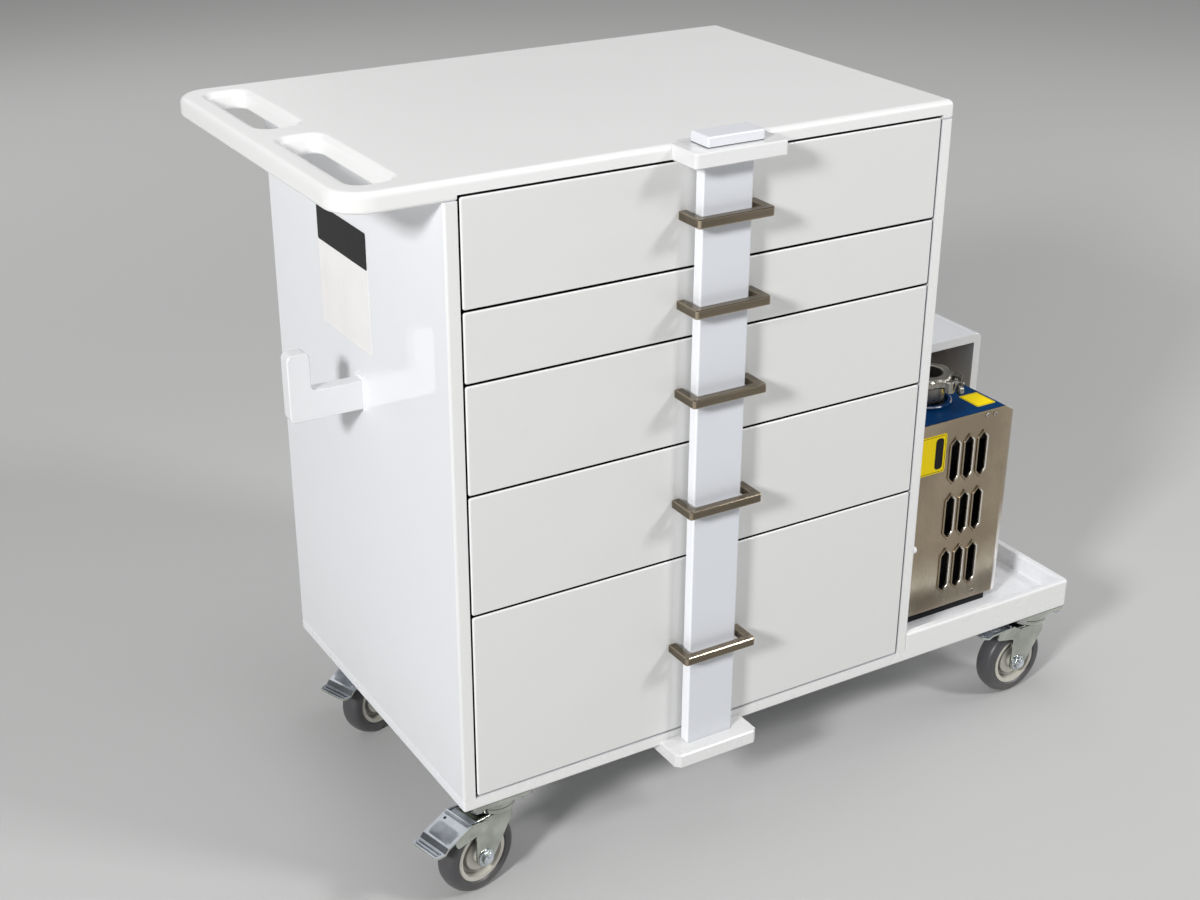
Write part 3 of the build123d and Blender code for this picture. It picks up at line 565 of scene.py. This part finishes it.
def worn_film(name, base, rough):
    """Printed film: a soft tone, fine scuffs and a dull sheen."""
    finish = Finish(name)
    cloud = finish.noise(18.0, 4.0)
    scuff = finish.ease(finish.noise(90.0, 6.0, (1.0, 1.0, 0.3)), 0.60, 0.80)
    finish.vary(cloud, base, 0.94, 1.04)
    finish.lay(scuff * 0.3, tone(base, 0.80))
    return finish.shade(
        Roughness=rough + scuff * 0.15,
        Normal=finish.raised(cloud, 0.1 * MM, 0.2),
        Specular_IOR_Level=0.12,
    )


def dress_node(node, material):
    """Give a finish to one solid."""
    mesh = frame["nodes"][node].data
    mesh.materials.clear()
    mesh.materials.append(material)


def dress(slot, make, *values, **more):
    """Give every solid of a slot a finish with the slot's name."""
    material = make(slot, *values, **more)
    for node, name in SLOT_OF.items():
        if name == slot:
            dress_node(node, material)


# Modelling

MIDDLE = (0.0, 0.0, 0.0)
FACINGS = {
    "up": (0.0, 0.0, 0.0), "front": (pi / 2, 0.0, 0.0),
    "left": (0.0, -pi / 2, 0.0), "right": (0.0, pi / 2, 0.0),
}
SHARP = radians(35.0)
SMOOTH = radians(38.0)
FILM, INK = 0.5, 0.2  # thicknesses in millimetres


def clear_selection():
    """Leave edit mode and deselect everything."""
    if bpy.context.mode != "OBJECT":
        bpy.ops.object.mode_set(mode="OBJECT")
    bpy.ops.object.select_all(action="DESELECT")


def hold(piece):
    """Make one piece the only selected and the active one."""
    clear_selection()
    bpy.context.view_layer.objects.active = piece
    piece.select_set(True)


def settle(piece, name):
    """Name a piece and put its place into its mesh."""
    hold(piece)
    piece.name = name
    piece.data.name = name
    bpy.ops.object.transform_apply(location=True, rotation=True, scale=True)
    return piece


def pick(piece, kind, test=None):
    """Go into edit mode and select all vertices, edges or faces, or those that pass a test."""
    if bpy.context.mode != "EDIT_MESH":
        hold(piece)
        bpy.ops.object.mode_set(mode="EDIT")
    bpy.ops.mesh.select_mode(type=kind)
    bpy.ops.mesh.select_all(action="DESELECT")
    mesh = bmesh.from_edit_mesh(piece.data)
    mesh.normal_update()
    parts = {"VERT": mesh.verts, "EDGE": mesh.edges, "FACE": mesh.faces}[kind]
    for part in parts:
        part.select_set(test is None or bool(test(part)))
    mesh.select_flush_mode()
    bmesh.update_edit_mesh(piece.data)


def modify(piece, kind, **settings):
    """Add a modifier to a piece and apply it."""
    hold(piece)
    modifier = piece.modifiers.new(kind.lower(), kind)
    for key, value in settings.items():
        setattr(modifier, key, value)
    bpy.ops.object.modifier_apply(modifier=modifier.name)


def soften(piece, width, segments):
    """Round the sharp edges of a piece, by a width in millimetres."""
    modify(piece, "BEVEL", width=width * MM, segments=segments, limit_method="ANGLE", angle_limit=SHARP,
           harden_normals=False)


def millimetres(*lengths):
    """Lengths as the modelling functions take them."""
    return [metres / MM for metres in lengths]


def card(name, centre, size, facing, corner, thickness, border=0.0):
    """A thin plate with rounded corners that stands on a face, or with a border only its frame.

    All but its centre is in millimetres.
    """
    clear_selection()
    bpy.ops.mesh.primitive_plane_add(size=1.0, location=centre, rotation=FACINGS[facing])
    piece = bpy.context.active_object
    piece.scale = (size[0] * MM, size[1] * MM, 1.0)
    settle(piece, name)
    pick(piece, "VERT")
    bpy.ops.mesh.bevel(affect="VERTICES", offset=corner * MM, segments=6)
    if border:
        pick(piece, "FACE")
        bpy.ops.mesh.inset(thickness=border * MM, use_even_offset=True)
        bpy.ops.mesh.delete(type="FACE")
    clear_selection()
    modify(piece, "SOLIDIFY", thickness=thickness * MM, offset=1.0)
    return piece


def turned(name, steps, sides=32):
    """A round piece on the Z axis, drawn up through steps of radius and height in millimetres."""
    clear_selection()
    (foot, low), (radius, height) = steps[:2]
    bpy.ops.mesh.primitive_cone_add(
        vertices=sides, radius1=foot * MM, radius2=radius * MM, depth=(height - low) * MM,
        location=(0.0, 0.0, (low + height) / 2 * MM),
    )
    piece = settle(bpy.context.active_object, name)
    pick(piece, "FACE", lambda part: part.normal.z > 0.9)
    for wider, higher in steps[2:]:
        move = {"value": (0.0, 0.0, (higher - height) * MM)}
        bpy.ops.mesh.extrude_region_move(TRANSFORM_OT_translate=move)
        share = wider / radius
        bpy.ops.transform.resize(value=(share, share, 1.0), center_override=(0.0, 0.0, higher * MM))
        radius, height = wider, higher
    clear_selection()
    return piece


def discard(*pieces):
    """Remove pieces that were modelled only to be copied."""
    clear_selection()
    for piece in pieces:
        mesh = piece.data
        bpy.data.objects.remove(piece)
        bpy.data.meshes.remove(mesh)


def fit(piece, body, material):
    """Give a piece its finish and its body."""
    hold(piece)
    bpy.ops.object.shade_smooth_by_angle(angle=SMOOTH)
    piece.data.materials.clear()
    piece.data.materials.append(material)
    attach(piece, body)


def fit_copy(piece, name, matrix, body, material):
    """Fit a copy of a piece, put in place by a matrix."""
    twin = piece.copy()
    twin.data = piece.data.copy()
    bpy.context.scene.collection.objects.link(twin)
    twin.matrix_world = matrix
    fit(settle(twin, name), body, material)


def inlet_mouth():
    """The middle of the inlet's mouth."""
    low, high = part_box("inlet_flange")
    return Vector(((low.x + high.x) / 2, (low.y + high.y) / 2, high.z))


def moved(right, back, up):
    """A matrix that moves by millimetres."""
    return Matrix.Translation(Vector((right, back, up)) * MM)


def fork_frame(corner):
    """Place and turn of a caster's fork: X ahead of its swivel, Z up from the floor."""
    swivel = Vector(JOINTS[f"{corner}_swivel"]["pos_m"])
    lead = swivel - Vector(JOINTS[f"{corner}_roll"]["pos_m"])
    turn = Matrix.Rotation(atan2(lead.y, lead.x), 4, "Z")
    return Matrix.Translation((swivel.x, swivel.y, 0.0)) @ turn


def pedal_frame(corner):
    """Place and turn of a brake pedal: X ahead of its pivot, Z up, lifted as the pedal is."""
    joint = JOINTS[f"{corner}_brake_lift"]
    lift = Matrix.Rotation(radians(-joint["range_deg"][0]), 4, "Y")
    turn = fork_frame(corner).to_3x3().to_4x4()
    return Matrix.Translation(joint["pos_m"]) @ turn @ lift


# Operators

class CART_OT_finish_boards(bpy.types.Operator):
    """Finish the cabinet's boards, the tray, the hood and the worktop"""

    bl_idname = "cart.finish_boards"
    bl_label = "Finish the boards"

    def execute(self, context):
        paint = context.scene.cart_colours
        # Painted shade: the cabinet's inside and the hood's inside get dark tones in place of their shade.
        cabinet_low, cabinet_high = at(14.7, 1.5, 15.8), at(634.2, 0.0, 729.0)
        cabinet_high.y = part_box("back_panel")[1].y - MM
        hood_low, hood_high = at(650.5, 207.5, 41.0), at(911.3, 0.0, 329.0)
        hood_high.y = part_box("hood_back")[1].y - MM
        shade_boxes = (cabinet_low, cabinet_high, paint.painted_gap_shade), (hood_low, hood_high, paint.hood_inside_shade)
        # Painted shade: faces that look to the front get a greyer tone.
        painted_facing_light = (((0.0, -1.0, 0.0), tone(paint.front_grey, 1.10)),)
        dress(
            "white_board", gloss_board, paint.board_white, 0.004, 0.01 * MM, True, shade_boxes, painted_facing_light, BOARD_EDGE
        )
        tray = gloss_board("tray_white", paint.board_white, 0.20, 0.05 * MM, sides=painted_facing_light, edge=BOARD_EDGE)
        for node in ("base_panel", "tray_rim"):
            dress_node(node, tray)
        dress("top_white", satin_board, paint.top_white, 0.30)
        return {"FINISHED"}


class CART_OT_finish_drawers(bpy.types.Operator):
    """Finish the drawer fronts, boxes, runners and pulls"""

    bl_idname = "cart.finish_drawers"
    bl_label = "Finish the drawers"

    def execute(self, context):
        paint = context.scene.cart_colours
        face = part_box("drawer_1_front")[0].y
        # Drawer fronts: a painted highlight on the rims at the top and the left, and painted shade on the edges
        # behind the face.
        dress("front_grey", satin_board, paint.front_grey, 0.09, face, paint.painted_gap_shade)
        dress("box_white", satin_board, paint.box_white, 0.45)
        dress("runner_steel", plated_metal, paint.runner_steel, 0.34, 60.0)
        dress(
            "pull_bronze", brushed_metal, paint.pull_bronze, 0.20, (0.03, 1.0, 1.0), depth=0.03 * MM,
            streak=0.30, cloudy=0.35, edge=3.0 * MM,
        )
        return {"FINISHED"}


class CART_OT_finish_lock(bpy.types.Operator):
    """Finish the lock bar, its yoke and socket, and the hook"""

    bl_idname = "cart.finish_lock"
    bl_label = "Finish the lock bar"

    def execute(self, context):
        paint = context.scene.cart_colours
        dress("white_fitting", gloss_board, paint.fitting_white, 0.20, FITTING_PEEL)
        # Painted highlight: the lock bar's sides get the whiter board tone.
        painted_facing_light = [((side, 0.0, 0.0), paint.board_white) for side in (-1.0, 1.0)]
        dress_node("lock_bar", gloss_board("bar_white", paint.bar_white, 0.24, FITTING_PEEL, sides=painted_facing_light))
        # Painted shadow line under the bar's cap.
        low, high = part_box("bar_cap")
        margin = Vector((MM, MM, MM))
        cap_shadow_line = (low - margin, Vector((high.x, high.y, low.z - 0.1 * MM)) + margin, paint.painted_gap_shade)
        dress_node("bar_cap", gloss_board("cap_white", paint.cap_white, 0.24, FITTING_PEEL, shade_boxes=(cap_shadow_line,)))
        dress_node("side_hook", gloss_board("hook_white", paint.hook_white, 0.16, FITTING_PEEL))
        return {"FINISHED"}


class CART_OT_finish_pump(bpy.types.Operator):
    """Finish the pump's foot, cover, casting, inlet, clamp and motor"""

    bl_idname = "cart.finish_pump"
    bl_label = "Finish the pump"

    def execute(self, context):
        paint = context.scene.cart_colours
        centre = inlet_mouth().xy
        cover_low, cover_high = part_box("pump_cover")
        dress("pump_black", moulding, paint.foot_black, 0.55, shine=0.2)
        dress(
            "pump_steel", brushed_metal, paint.cover_steel, 0.26, (1.0, 1.0, 0.02), depth=0.01 * MM,
            streak=0.04, cloudy=0.45, edge=1.2 * MM, foot=cover_low.z,
        )
        ring = centre, 35.5 * MM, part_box("pump_casting")[1].z
        dress("pump_blue", enamel, paint.casting_blue, 0.36, 0.04, cover_high.z - 16.0 * MM, ring)
        dress("inlet_steel", turned_metal, paint.inlet_steel, 0.26, centre)
        dress("clamp_aluminium", plated_metal, paint.clamp_grey, 0.30, 220.0)
        dress("motor_grey", enamel, paint.motor_grey, 0.42, 0.1)
        return {"FINISHED"}


class CART_OT_finish_casters(bpy.types.Operator):
    """Finish the caster plates, forks, pedals, bolts, rims and tyres"""

    bl_idname = "cart.finish_casters"
    bl_label = "Finish the casters"

    def execute(self, context):
        paint = context.scene.cart_colours
        # Zinc parts get grime with painted shade in their recesses, and edges with wear and a painted highlight.
        dress("caster_zinc", plated_metal, paint.zinc, 0.20, 130.0)
        dress("pedal_zinc", plated_metal, paint.pedal_zinc, 0.15, 130.0, side=paint.zinc)
        dress("bolt_steel", plated_metal, paint.bolt_steel, 0.32, 300.0)
        # The rims' grime setting also paints shade in their recesses.
        dress("rim_cream", moulding, paint.rim_cream, 0.40, 260.0, 0.08 * MM, 0.14, grime=0.75)
        dress("tyre_grey", moulding, paint.tyre_grey, 0.38, 500.0, 0.06 * MM, 0.30, 0.05)
        return {"FINISHED"}


class CART_OT_seat_hook(bpy.types.Operator):
    """Seat the hook on a thin plate on the left side"""

    bl_idname = "cart.seat_hook"
    bl_label = "Seat the hook"

    def execute(self, context):
        paint = context.scene.cart_colours
        plate = card("hook_plate", at(0.1, 232.5, 442.2), (42.5, 23.0), "left", 1.5, 2.1)
        soften(plate, 0.5, 2)
        white = gloss_board("plate_white", paint.board_white, 0.16, FITTING_PEEL)
        fit(plate, "cabinet", white)
        return {"FINISHED"}


class CART_OT_stick_side_patch(bpy.types.Operator):
    """Stick the blank film with its dark band on the left side"""

    bl_idname = "cart.stick_side_patch"
    bl_label = "Stick the side patch"

    def execute(self, context):
        paint, sizes = context.scene.cart_colours, context.scene.cart_sizes
        size = millimetres(sizes.patch_height, sizes.patch_depth)
        sheet = card("side_patch", at(0.1, 264.0, 568.5), size, "left", 2.5, FILM)
        fit(sheet, "cabinet", worn_film("patch_white", paint.patch_white, 0.32))
        size = millimetres(sizes.patch_band, sizes.patch_depth)
        band = card("side_patch_band", at(-0.3, 264.0, 618.5), size, "left", 2.5, 0.3)
        fit(band, "cabinet", worn_film("patch_dark", paint.patch_dark, 0.30))
        return {"FINISHED"}


class CART_OT_press_side_button(bpy.types.Operator):
    """Press the plastic button into the right side, near its front edge"""

    bl_idname = "cart.press_side_button"
    bl_label = "Press the side button"

    def execute(self, context):
        paint = context.scene.cart_colours
        steps = ((5.0, -0.5), (5.0, 3.0), (4.4, 4.6), (3.0, 5.6), (1.2, 5.9))
        button = turned("side_button", steps, 28)
        button.rotation_euler = FACINGS["right"]
        button.location = at(650.0, 5.2, 163.0)
        settle(button, "side_button")
        fit(button, "cabinet", moulding("button_white", paint.fitting_white, 0.3))
        return {"FINISHED"}


class CART_OT_fix_pump_plates(bpy.types.Operator):
    """Fix the blank yellow plates on the pump's cover and casting"""

    bl_idname = "cart.fix_pump_plates"
    bl_label = "Fix the pump's plates"

    def execute(self, context):
        paint, sizes = context.scene.cart_colours, context.scene.cart_sizes
        yellow = worn_film("plate_yellow", paint.plate_yellow, 0.34)
        dark = worn_film("plate_dark", paint.patch_dark, 0.34)
        cover = millimetres(sizes.cover_plate_width, sizes.cover_plate_height)
        lid = millimetres(sizes.lid_plate_width, sizes.lid_plate_depth)
        cover_line = [side - 3.4 for side in cover]
        lid_line = [side - 2.6 for side in lid]
        for film, *shape in (
            (yellow, "cover_plate", at(706.0, 48.1, 265.5), cover, "front", 4.0, FILM),
            (dark, "cover_plate_border", at(706.0, 47.7, 265.5), cover_line, "front", 3.0, INK, 0.6),
            (dark, "cover_plate_bar", at(720.5, 47.7, 265.5), (13.0, 44.0), "front", 5.0, 0.3),
            (yellow, "lid_plate", at(811.5, 83.0, 308.9), lid, "up", 2.0, FILM),
            (dark, "lid_plate_border", at(811.5, 83.0, 309.3), lid_line, "up", 1.5, INK, 0.5),
        ):
            fit(card(*shape), "cabinet", film)
        return {"FINISHED"}


class CART_OT_close_clamp(bpy.types.Operator):
    """Close the inlet clamp with its cast jaws, swing bolt and knob"""

    bl_idname = "cart.close_clamp"
    bl_label = "Close the clamp"

    def execute(self, context):
        paint = context.scene.cart_colours
        cast = plated_metal("jaw_cast", paint.jaw_grey, 0.36, 260.0, 0.3, bright=0.35)
        bright = plated_metal("bolt_bright", paint.bolt_bright, 0.18, 40.0, 0.0, bright=0.2)
        upright = Matrix.Identity(4)
        ahead = Matrix.Rotation(radians(-15.0), 4, "Z") @ Matrix.Rotation(pi / 2, 4, "Y")
        bolt = turned("bolt", ((1.6, 0.0), (2.3, 0.5), (2.3, 24.0), (1.7, 24.6)), 20)
        knob = turned("knob", ((5.5, 0.0), (6.6, 0.8), (6.6, 5.4), (5.6, 6.2), (4.8, 5.2), (2.0, 5.2)), 28)
        pin = turned("pin", ((2.0, 0.0), (2.0, 5.0), (1.6, 6.0), (0.7, 6.4)), 20)
        lug = turned("lug", ((6.0, 0.0), (7.2, 1.2), (7.2, 15.0), (5.6, 16.4)), 8)
        for piece, name, spot, turn, finish in (
            (self.jaws(), "clamp_jaws", inlet_mouth(), upright, cast),
            (bolt, "clamp_bolt", at(752.5, 79.0, 344.0), ahead, bright),
            (knob, "clamp_knob", at(761.0, 67.5, 339.0), ahead, cast),
            (pin, "clamp_pin", at(766.5, 78.5, 344.5), upright, bright),
            (lug, "clamp_lug", at(757.0, 79.5, 332.0), upright, cast),
        ):
            place = Matrix.Translation(spot) @ turn
            fit_copy(piece, name, place, "cabinet", finish)
            discard(piece)
        return {"FINISHED"}

    def jaws(self):
        """Two jaws as one lumpy ring at the origin."""
        clear_selection()
        bpy.ops.mesh.primitive_circle_add(vertices=48, radius=21.8 * MM)
        ring = settle(bpy.context.active_object, "jaws")
        pick(ring, "EDGE")
        for reach, up in ((26.0, 1.0), (31.0, 0.4), (34.2, -3.0), (34.6, -10.0), (30.5, -13.0)):
            bpy.ops.mesh.extrude_edges_move()
            edge = [part for part in bmesh.from_edit_mesh(ring.data).verts if part.select]
            share = reach * MM / edge[0].co.xy.length
            bpy.ops.transform.resize(value=(share, share, 1.0), center_override=MIDDLE)
            bpy.ops.transform.translate(value=(0.0, 0.0, up * MM - edge[0].co.z))
        pick(ring, "VERT", self.on_lump)
        bpy.ops.transform.resize(value=(1.09, 1.09, 1.0), center_override=MIDDLE)
        bpy.ops.mesh.select_all(action="SELECT")
        bpy.ops.mesh.normals_make_consistent(inside=False)
        clear_selection()
        modify(ring, "SOLIDIFY", thickness=1.6 * MM, offset=-1.0)
        soften(ring, 0.5, 2)
        return ring

    def on_lump(self, part):
        """Whether a point is on one of the eight lumps."""
        turn = atan2(part.co.y, part.co.x) % (pi / 4)
        return part.co.xy.length > 30.0 * MM and turn < 0.3


class CART_OT_flange_vents(bpy.types.Operator):
    """Turn out a rounded rim round each cooling slot of the pump's cover"""

    bl_idname = "cart.flange_vents"
    bl_label = "Flange the vents"

    def execute(self, context):
        paint, sizes = context.scene.cart_colours, context.scene.cart_sizes
        middle = at(771.3, 48.0, 167.5)
        steel = tone(paint.cover_steel, 0.85)
        pressed = rim_metal("vent_rim", steel, paint.vent_highlight, middle.x, sizes.vent_pitch)
        rim = self.rim(sizes.vent_rim)
        for row in range(3):
            for column in range(3):
                off = Vector((sizes.vent_pitch * (column - 1), 0.0, sizes.vent_row * (row - 1)))
                name, place = f"vent_rim_{row + 1}_{column + 1}", Matrix.Translation(middle + off)
                fit_copy(rim, name, place, "cabinet", pressed)
        discard(rim)
        return {"FINISHED"}

    def rim(self, border):
        """One rim at the origin: a six-sided plate drawn out, opened and thickened."""
        half_width, shoulder, half_height, slant = 7.0 * MM, 8.0 * MM, 31.0 * MM, 1.52
        clear_selection()
        bpy.ops.mesh.primitive_circle_add(vertices=6, radius=1.0, fill_type="NGON", rotation=FACINGS["front"])
        rim = settle(bpy.context.active_object, "vent_rim")
        pick(rim, "VERT")
        wide = half_width + border
        point = shoulder * wide / half_width
        stretch = (wide / cos(pi / 6), 1.0, 2.0 * point)
        bpy.ops.transform.resize(value=stretch, center_override=MIDDLE)
        shift = half_height + slant * border - 2.0 * point
        for side in (1.0, -1.0):
            pick(rim, "VERT", lambda part: part.co.z * side > 0.0)
            bpy.ops.transform.translate(value=(0.0, 0.0, side * shift))
        pick(rim, "FACE")
        bpy.ops.mesh.inset(thickness=border, use_even_offset=True)
        bpy.ops.mesh.delete(type="FACE")
        clear_selection()
        modify(rim, "SOLIDIFY", thickness=2.4 * MM, offset=0.7)
        soften(rim, 1.1, 3)
        return rim


class CART_OT_drive_screws(bpy.types.Operator):
    """Drive the screws of the pump's cover"""

    bl_idname = "cart.drive_screws"
    bl_label = "Drive the screws"

    def execute(self, context):
        paint = context.scene.cart_colours
        steel = plated_metal("screw_steel", paint.screw_steel, 0.30, 400.0, bright=0.3)
        screw = turned("screw", ((3.0, -0.3), (3.0, 0.7), (2.5, 1.3), (1.5, 1.5), (1.3, 0.6)), 24)
        front, side = 48.0, 856.0
        spots = [("front", at(right, front, up)) for right, up in (
            (799.0, 303.0), (812.7, 301.5), (802.5, 39.8), (690.0, 39.8), (690.0, 303.0))]
        spots += [("right", at(side, back, up)) for back, up in (
            (90.0, 39.8), (270.0, 39.8), (270.0, 285.0), (90.0, 285.0))]
        for number, (facing, spot) in enumerate(spots, 1):
            place = Matrix.Translation(spot) @ Euler(FACINGS[facing]).to_matrix().to_4x4()
            fit_copy(screw, f"cover_screw_{number}", place, "cabinet", steel)
        discard(screw)
        return {"FINISHED"}


class CART_OT_cap_axles(bpy.types.Operator):
    """Cap the caster axles with washers and domed nuts, and close the swivels with seals"""

    bl_idname = "cart.cap_axles"
    bl_label = "Cap the axles"

    def execute(self, context):
        paint = context.scene.cart_colours
        bright = plated_metal("nut_zinc", paint.nut_zinc, 0.28, 20.0, 0.0, bright=0.15)
        rubber = moulding("seal_black", paint.seal_black, 0.45)
        washer = turned("washer", ((10.8, -0.2), (10.8, 0.8), (10.2, 1.3), (8.0, 1.4)))
        dome = turned(
            "dome", ((7.0, -0.2), (7.0, 0.5), (6.0, 1.0), (5.4, 1.1), (5.4, 1.9), (4.6, 2.5), (2.6, 2.9))
        )
        seal = turned("seal", ((26.5, 112.9), (28.2, 113.5), (28.2, 115.3), (26.5, 115.9)), 48)
        trail, axle = -28.0, 50.8
        for corner in CASTERS:
            home, body = fork_frame(corner), f"{corner}_caster"
            fit_copy(seal, f"{corner}_swivel_seal", home, body, rubber)
            for side, sign in (("near", -1.0), ("far", 1.0)):
                turn = Matrix.Rotation(-sign * pi / 2, 4, "X")
                for piece, name, out in ((washer, "axle_washer", 20.0), (dome, "axle_nut", 25.0)):
                    place = home @ moved(trail, sign * out, axle) @ turn
                    fit_copy(piece, f"{corner}_{name}_{side}", place, body, bright)
        discard(washer, dome, seal)
        return {"FINISHED"}


class CART_OT_fold_crowns(bpy.types.Operator):
    """Fold out the back edge of each caster's crown, up to the pedal"""

    bl_idname = "cart.fold_crowns"
    bl_label = "Fold the crowns"

    def execute(self, context):
        paint = context.scene.cart_colours
        # Painted light: the fold is a lighter copy of the pedal zinc, with little shade painted in its recesses.
        painted_lit_zinc = plated_metal("crown_zinc", tone(paint.pedal_zinc, 1.1), 0.50, 130.0, recess=0.15)
        fold = card("fold", Vector((-43.2, 0.0, 105.3)) * MM, (9.4, 39.0), "up", 1.5, 2.1)
        soften(fold, 0.8, 3)
        for corner in CASTERS:
            name, body = f"{corner}_crown_fold", f"{corner}_caster"
            fit_copy(fold, name, fork_frame(corner), body, painted_lit_zinc)
        discard(fold)
        return {"FINISHED"}


class CART_OT_press_pedals(bpy.types.Operator):
    """Press the raised panel, the rib and the ridges into each brake pedal, and lay a dark disc of painted shade
    in its eye
    """

    bl_idname = "cart.press_pedals"
    bl_label = "Press the pedals"

    def execute(self, context):
        paint = context.scene.cart_colours
        bright = plated_metal("pedal_panel", tone(paint.pedal_zinc, 0.80), 0.36, 130.0)
        # Painted shade: the eye is a dark disc in place of the shade in the pedal's hole.
        dark = moulding("pedal_eye", paint.seal_black, 0.5)
        plate = moved(-16.5, 0.0, 9.0) @ Matrix.Rotation(-radians(21.5), 4, "Y")
        panel = self.swelling("panel", -26.0, 1.15, (19.0, 36.0), 4.0, 0.9, 0.5, 3)
        rib = self.swelling("rib", -4.0, 1.0, (3.2, 43.0), 1.5, 1.4, 1.1, 4)
        ridge = self.swelling("ridge", 0.0, -0.2, (2.6, 38.0), 1.2, 1.5, 1.0, 4)
        eye = turned("eye", ((2.0, 1.0), (2.0, 1.30), (1.6, 1.34)), 20)
        forms = (
            (panel, "panel", plate, "pedal_zinc", bright),
            (rib, "rib", plate, "pedal_zinc", bright),
            (ridge, "ridge_1", moved(-62.0, 0.0, -9.0), "pedal_zinc", bright),
            (ridge, "ridge_2", moved(-67.0, 0.0, -9.0), "pedal_zinc", bright),
            (eye, "eye", plate @ moved(-10.5, 15.0, 0.0), "pump_black", dark),
        )
        for corner in CASTERS:
            lever, body = pedal_frame(corner), f"{corner}_brake"
            for form, name, place, slot, finish in forms:
                fit_copy(form, f"{corner}_pedal_{name}", lever @ place, body, finish)
        discard(panel, rib, ridge, eye)
        return {"FINISHED"}

    def swelling(self, name, ahead, up, size, corner, height, edge, segments):
        """A raised form with rounded edges."""
        form = card(name, Vector((ahead, 0.0, up)) * MM, size, "up", corner, height)
        soften(form, edge, segments)
        return form


class CART_OT_set_stage(bpy.types.Operator):
    """Set the floor, the lamps, the even light and the camera"""

    bl_idname = "cart.set_stage"
    bl_label = "Set the stage"

    def execute(self, context):
        values = context.scene.cart_stage
        self.lay_floor(values)
        self.hang_lamps(context)
        self.light_world(context, values)
        self.stand_camera(context, values)
        context.scene.view_settings.view_transform = "Standard"
        return {"FINISHED"}

    def lay_floor(self, values):
        """A plain floor, paler where the lamps no longer reach."""
        clear_selection()
        bpy.ops.mesh.primitive_plane_add(size=40.0)
        floor = bpy.context.active_object
        floor.name = "studio_floor"
        finish = Finish("studio_floor")
        finish.vary(finish.noise(0.6, 2.0), values.floor, 0.985, 1.0)
        finish.lay(finish.ease(finish.reach((0.0, 0.0)), 1.2, 4.5), tone(values.floor, 1.65))
        floor.data.materials.append(finish.shade(Roughness=0.75))

    def hang_lamps(self, context):
        """Square lamps that look at the cart's middle."""
        lamps = (
            ("left_lamp", (-4.50, -2.60, 2.95), 0.75, 240.0),
            ("front_right_lamp", (3.0, -3.6, 3.9), 1.0, 114.0),
            ("back_lamp", (-0.3, 3.4, 2.9), 3.0, 20.0),
            ("top_lamp", (0.2, 0.3, 3.6), 2.0, 25.0),
            ("right_lamp", (3.2, -0.8, 1.8), 1.2, 22.0),
        )
        target = (SOLID_LOW + SOLID_HIGH) / 2
        for name, place, size, power in lamps:
            lamp = bpy.data.lights.new(name, "AREA")
            lamp.shape = "SQUARE"
            lamp.size = size
            lamp.energy = power
            holder = bpy.data.objects.new(name, lamp)
            holder.location = place
            holder.rotation_euler = (target - Vector(place)).to_track_quat("-Z", "Y").to_euler()
            context.scene.collection.objects.link(holder)

    def light_world(self, context, values):
        """Even white light from all round."""
        world = bpy.data.worlds.new("even_light")
        world.use_nodes = True
        back = world.node_tree.nodes["Background"]
        back.inputs["Color"].default_value = (1.0, 1.0, 1.0, 1.0)
        back.inputs["Strength"].default_value = values.world_level
        context.scene.world = world

    def stand_camera(self, context, values):
        """The camera at the photograph's angle."""
        lens = bpy.data.cameras.new("photo_camera")
        lens.lens = values.lens
        lens.sensor_width = 36.0
        camera = bpy.data.objects.new("photo_camera", lens)
        camera.location = values.eye
        camera.rotation_euler = values.aim
        context.scene.collection.objects.link(camera)
        context.scene.camera = camera


OPERATORS = (
    CART_OT_finish_boards,
    CART_OT_finish_drawers,
    CART_OT_finish_lock,
    CART_OT_finish_pump,
    CART_OT_finish_casters,
    CART_OT_seat_hook,
    CART_OT_stick_side_patch,
    CART_OT_press_side_button,
    CART_OT_fix_pump_plates,
    CART_OT_close_clamp,
    CART_OT_flange_vents,
    CART_OT_drive_screws,
    CART_OT_cap_axles,
    CART_OT_fold_crowns,
    CART_OT_press_pedals,
    CART_OT_set_stage,
)
GROUPS = {"cart_colours": CartColours, "cart_sizes": CartSizes, "cart_stage": CartStage}


class CART_PT_panel(bpy.types.Panel):
    """Buttons and values of the drawer cart"""

    bl_idname = "CART_PT_panel"
    bl_label = "Drawer cart"
    bl_space_type = "VIEW_3D"
    bl_region_type = "UI"
    bl_category = "Drawer cart"

    def draw(self, context):
        for operator in OPERATORS:
            self.layout.operator(operator.bl_idname)
        for name in GROUPS:
            group = getattr(context.scene, name)
            for key in group.bl_rna.properties.keys():
                if key not in {"rna_type", "name"}:
                    self.layout.prop(group, key)


CLASSES = (*GROUPS.values(), *OPERATORS, CART_PT_panel)


def register():
    for cls in CLASSES:
        bpy.utils.register_class(cls)
    for name, group in GROUPS.items():
        setattr(bpy.types.Scene, name, PointerProperty(type=group))


def unregister():
    for name in GROUPS:
        delattr(bpy.types.Scene, name)
    for cls in reversed(CLASSES):
        bpy.utils.unregister_class(cls)


def main():
    register()
    for operator in OPERATORS:
        family, name = operator.bl_idname.split(".")
        getattr(getattr(bpy.ops, family), name)()


if __name__ == "__main__":
    main()
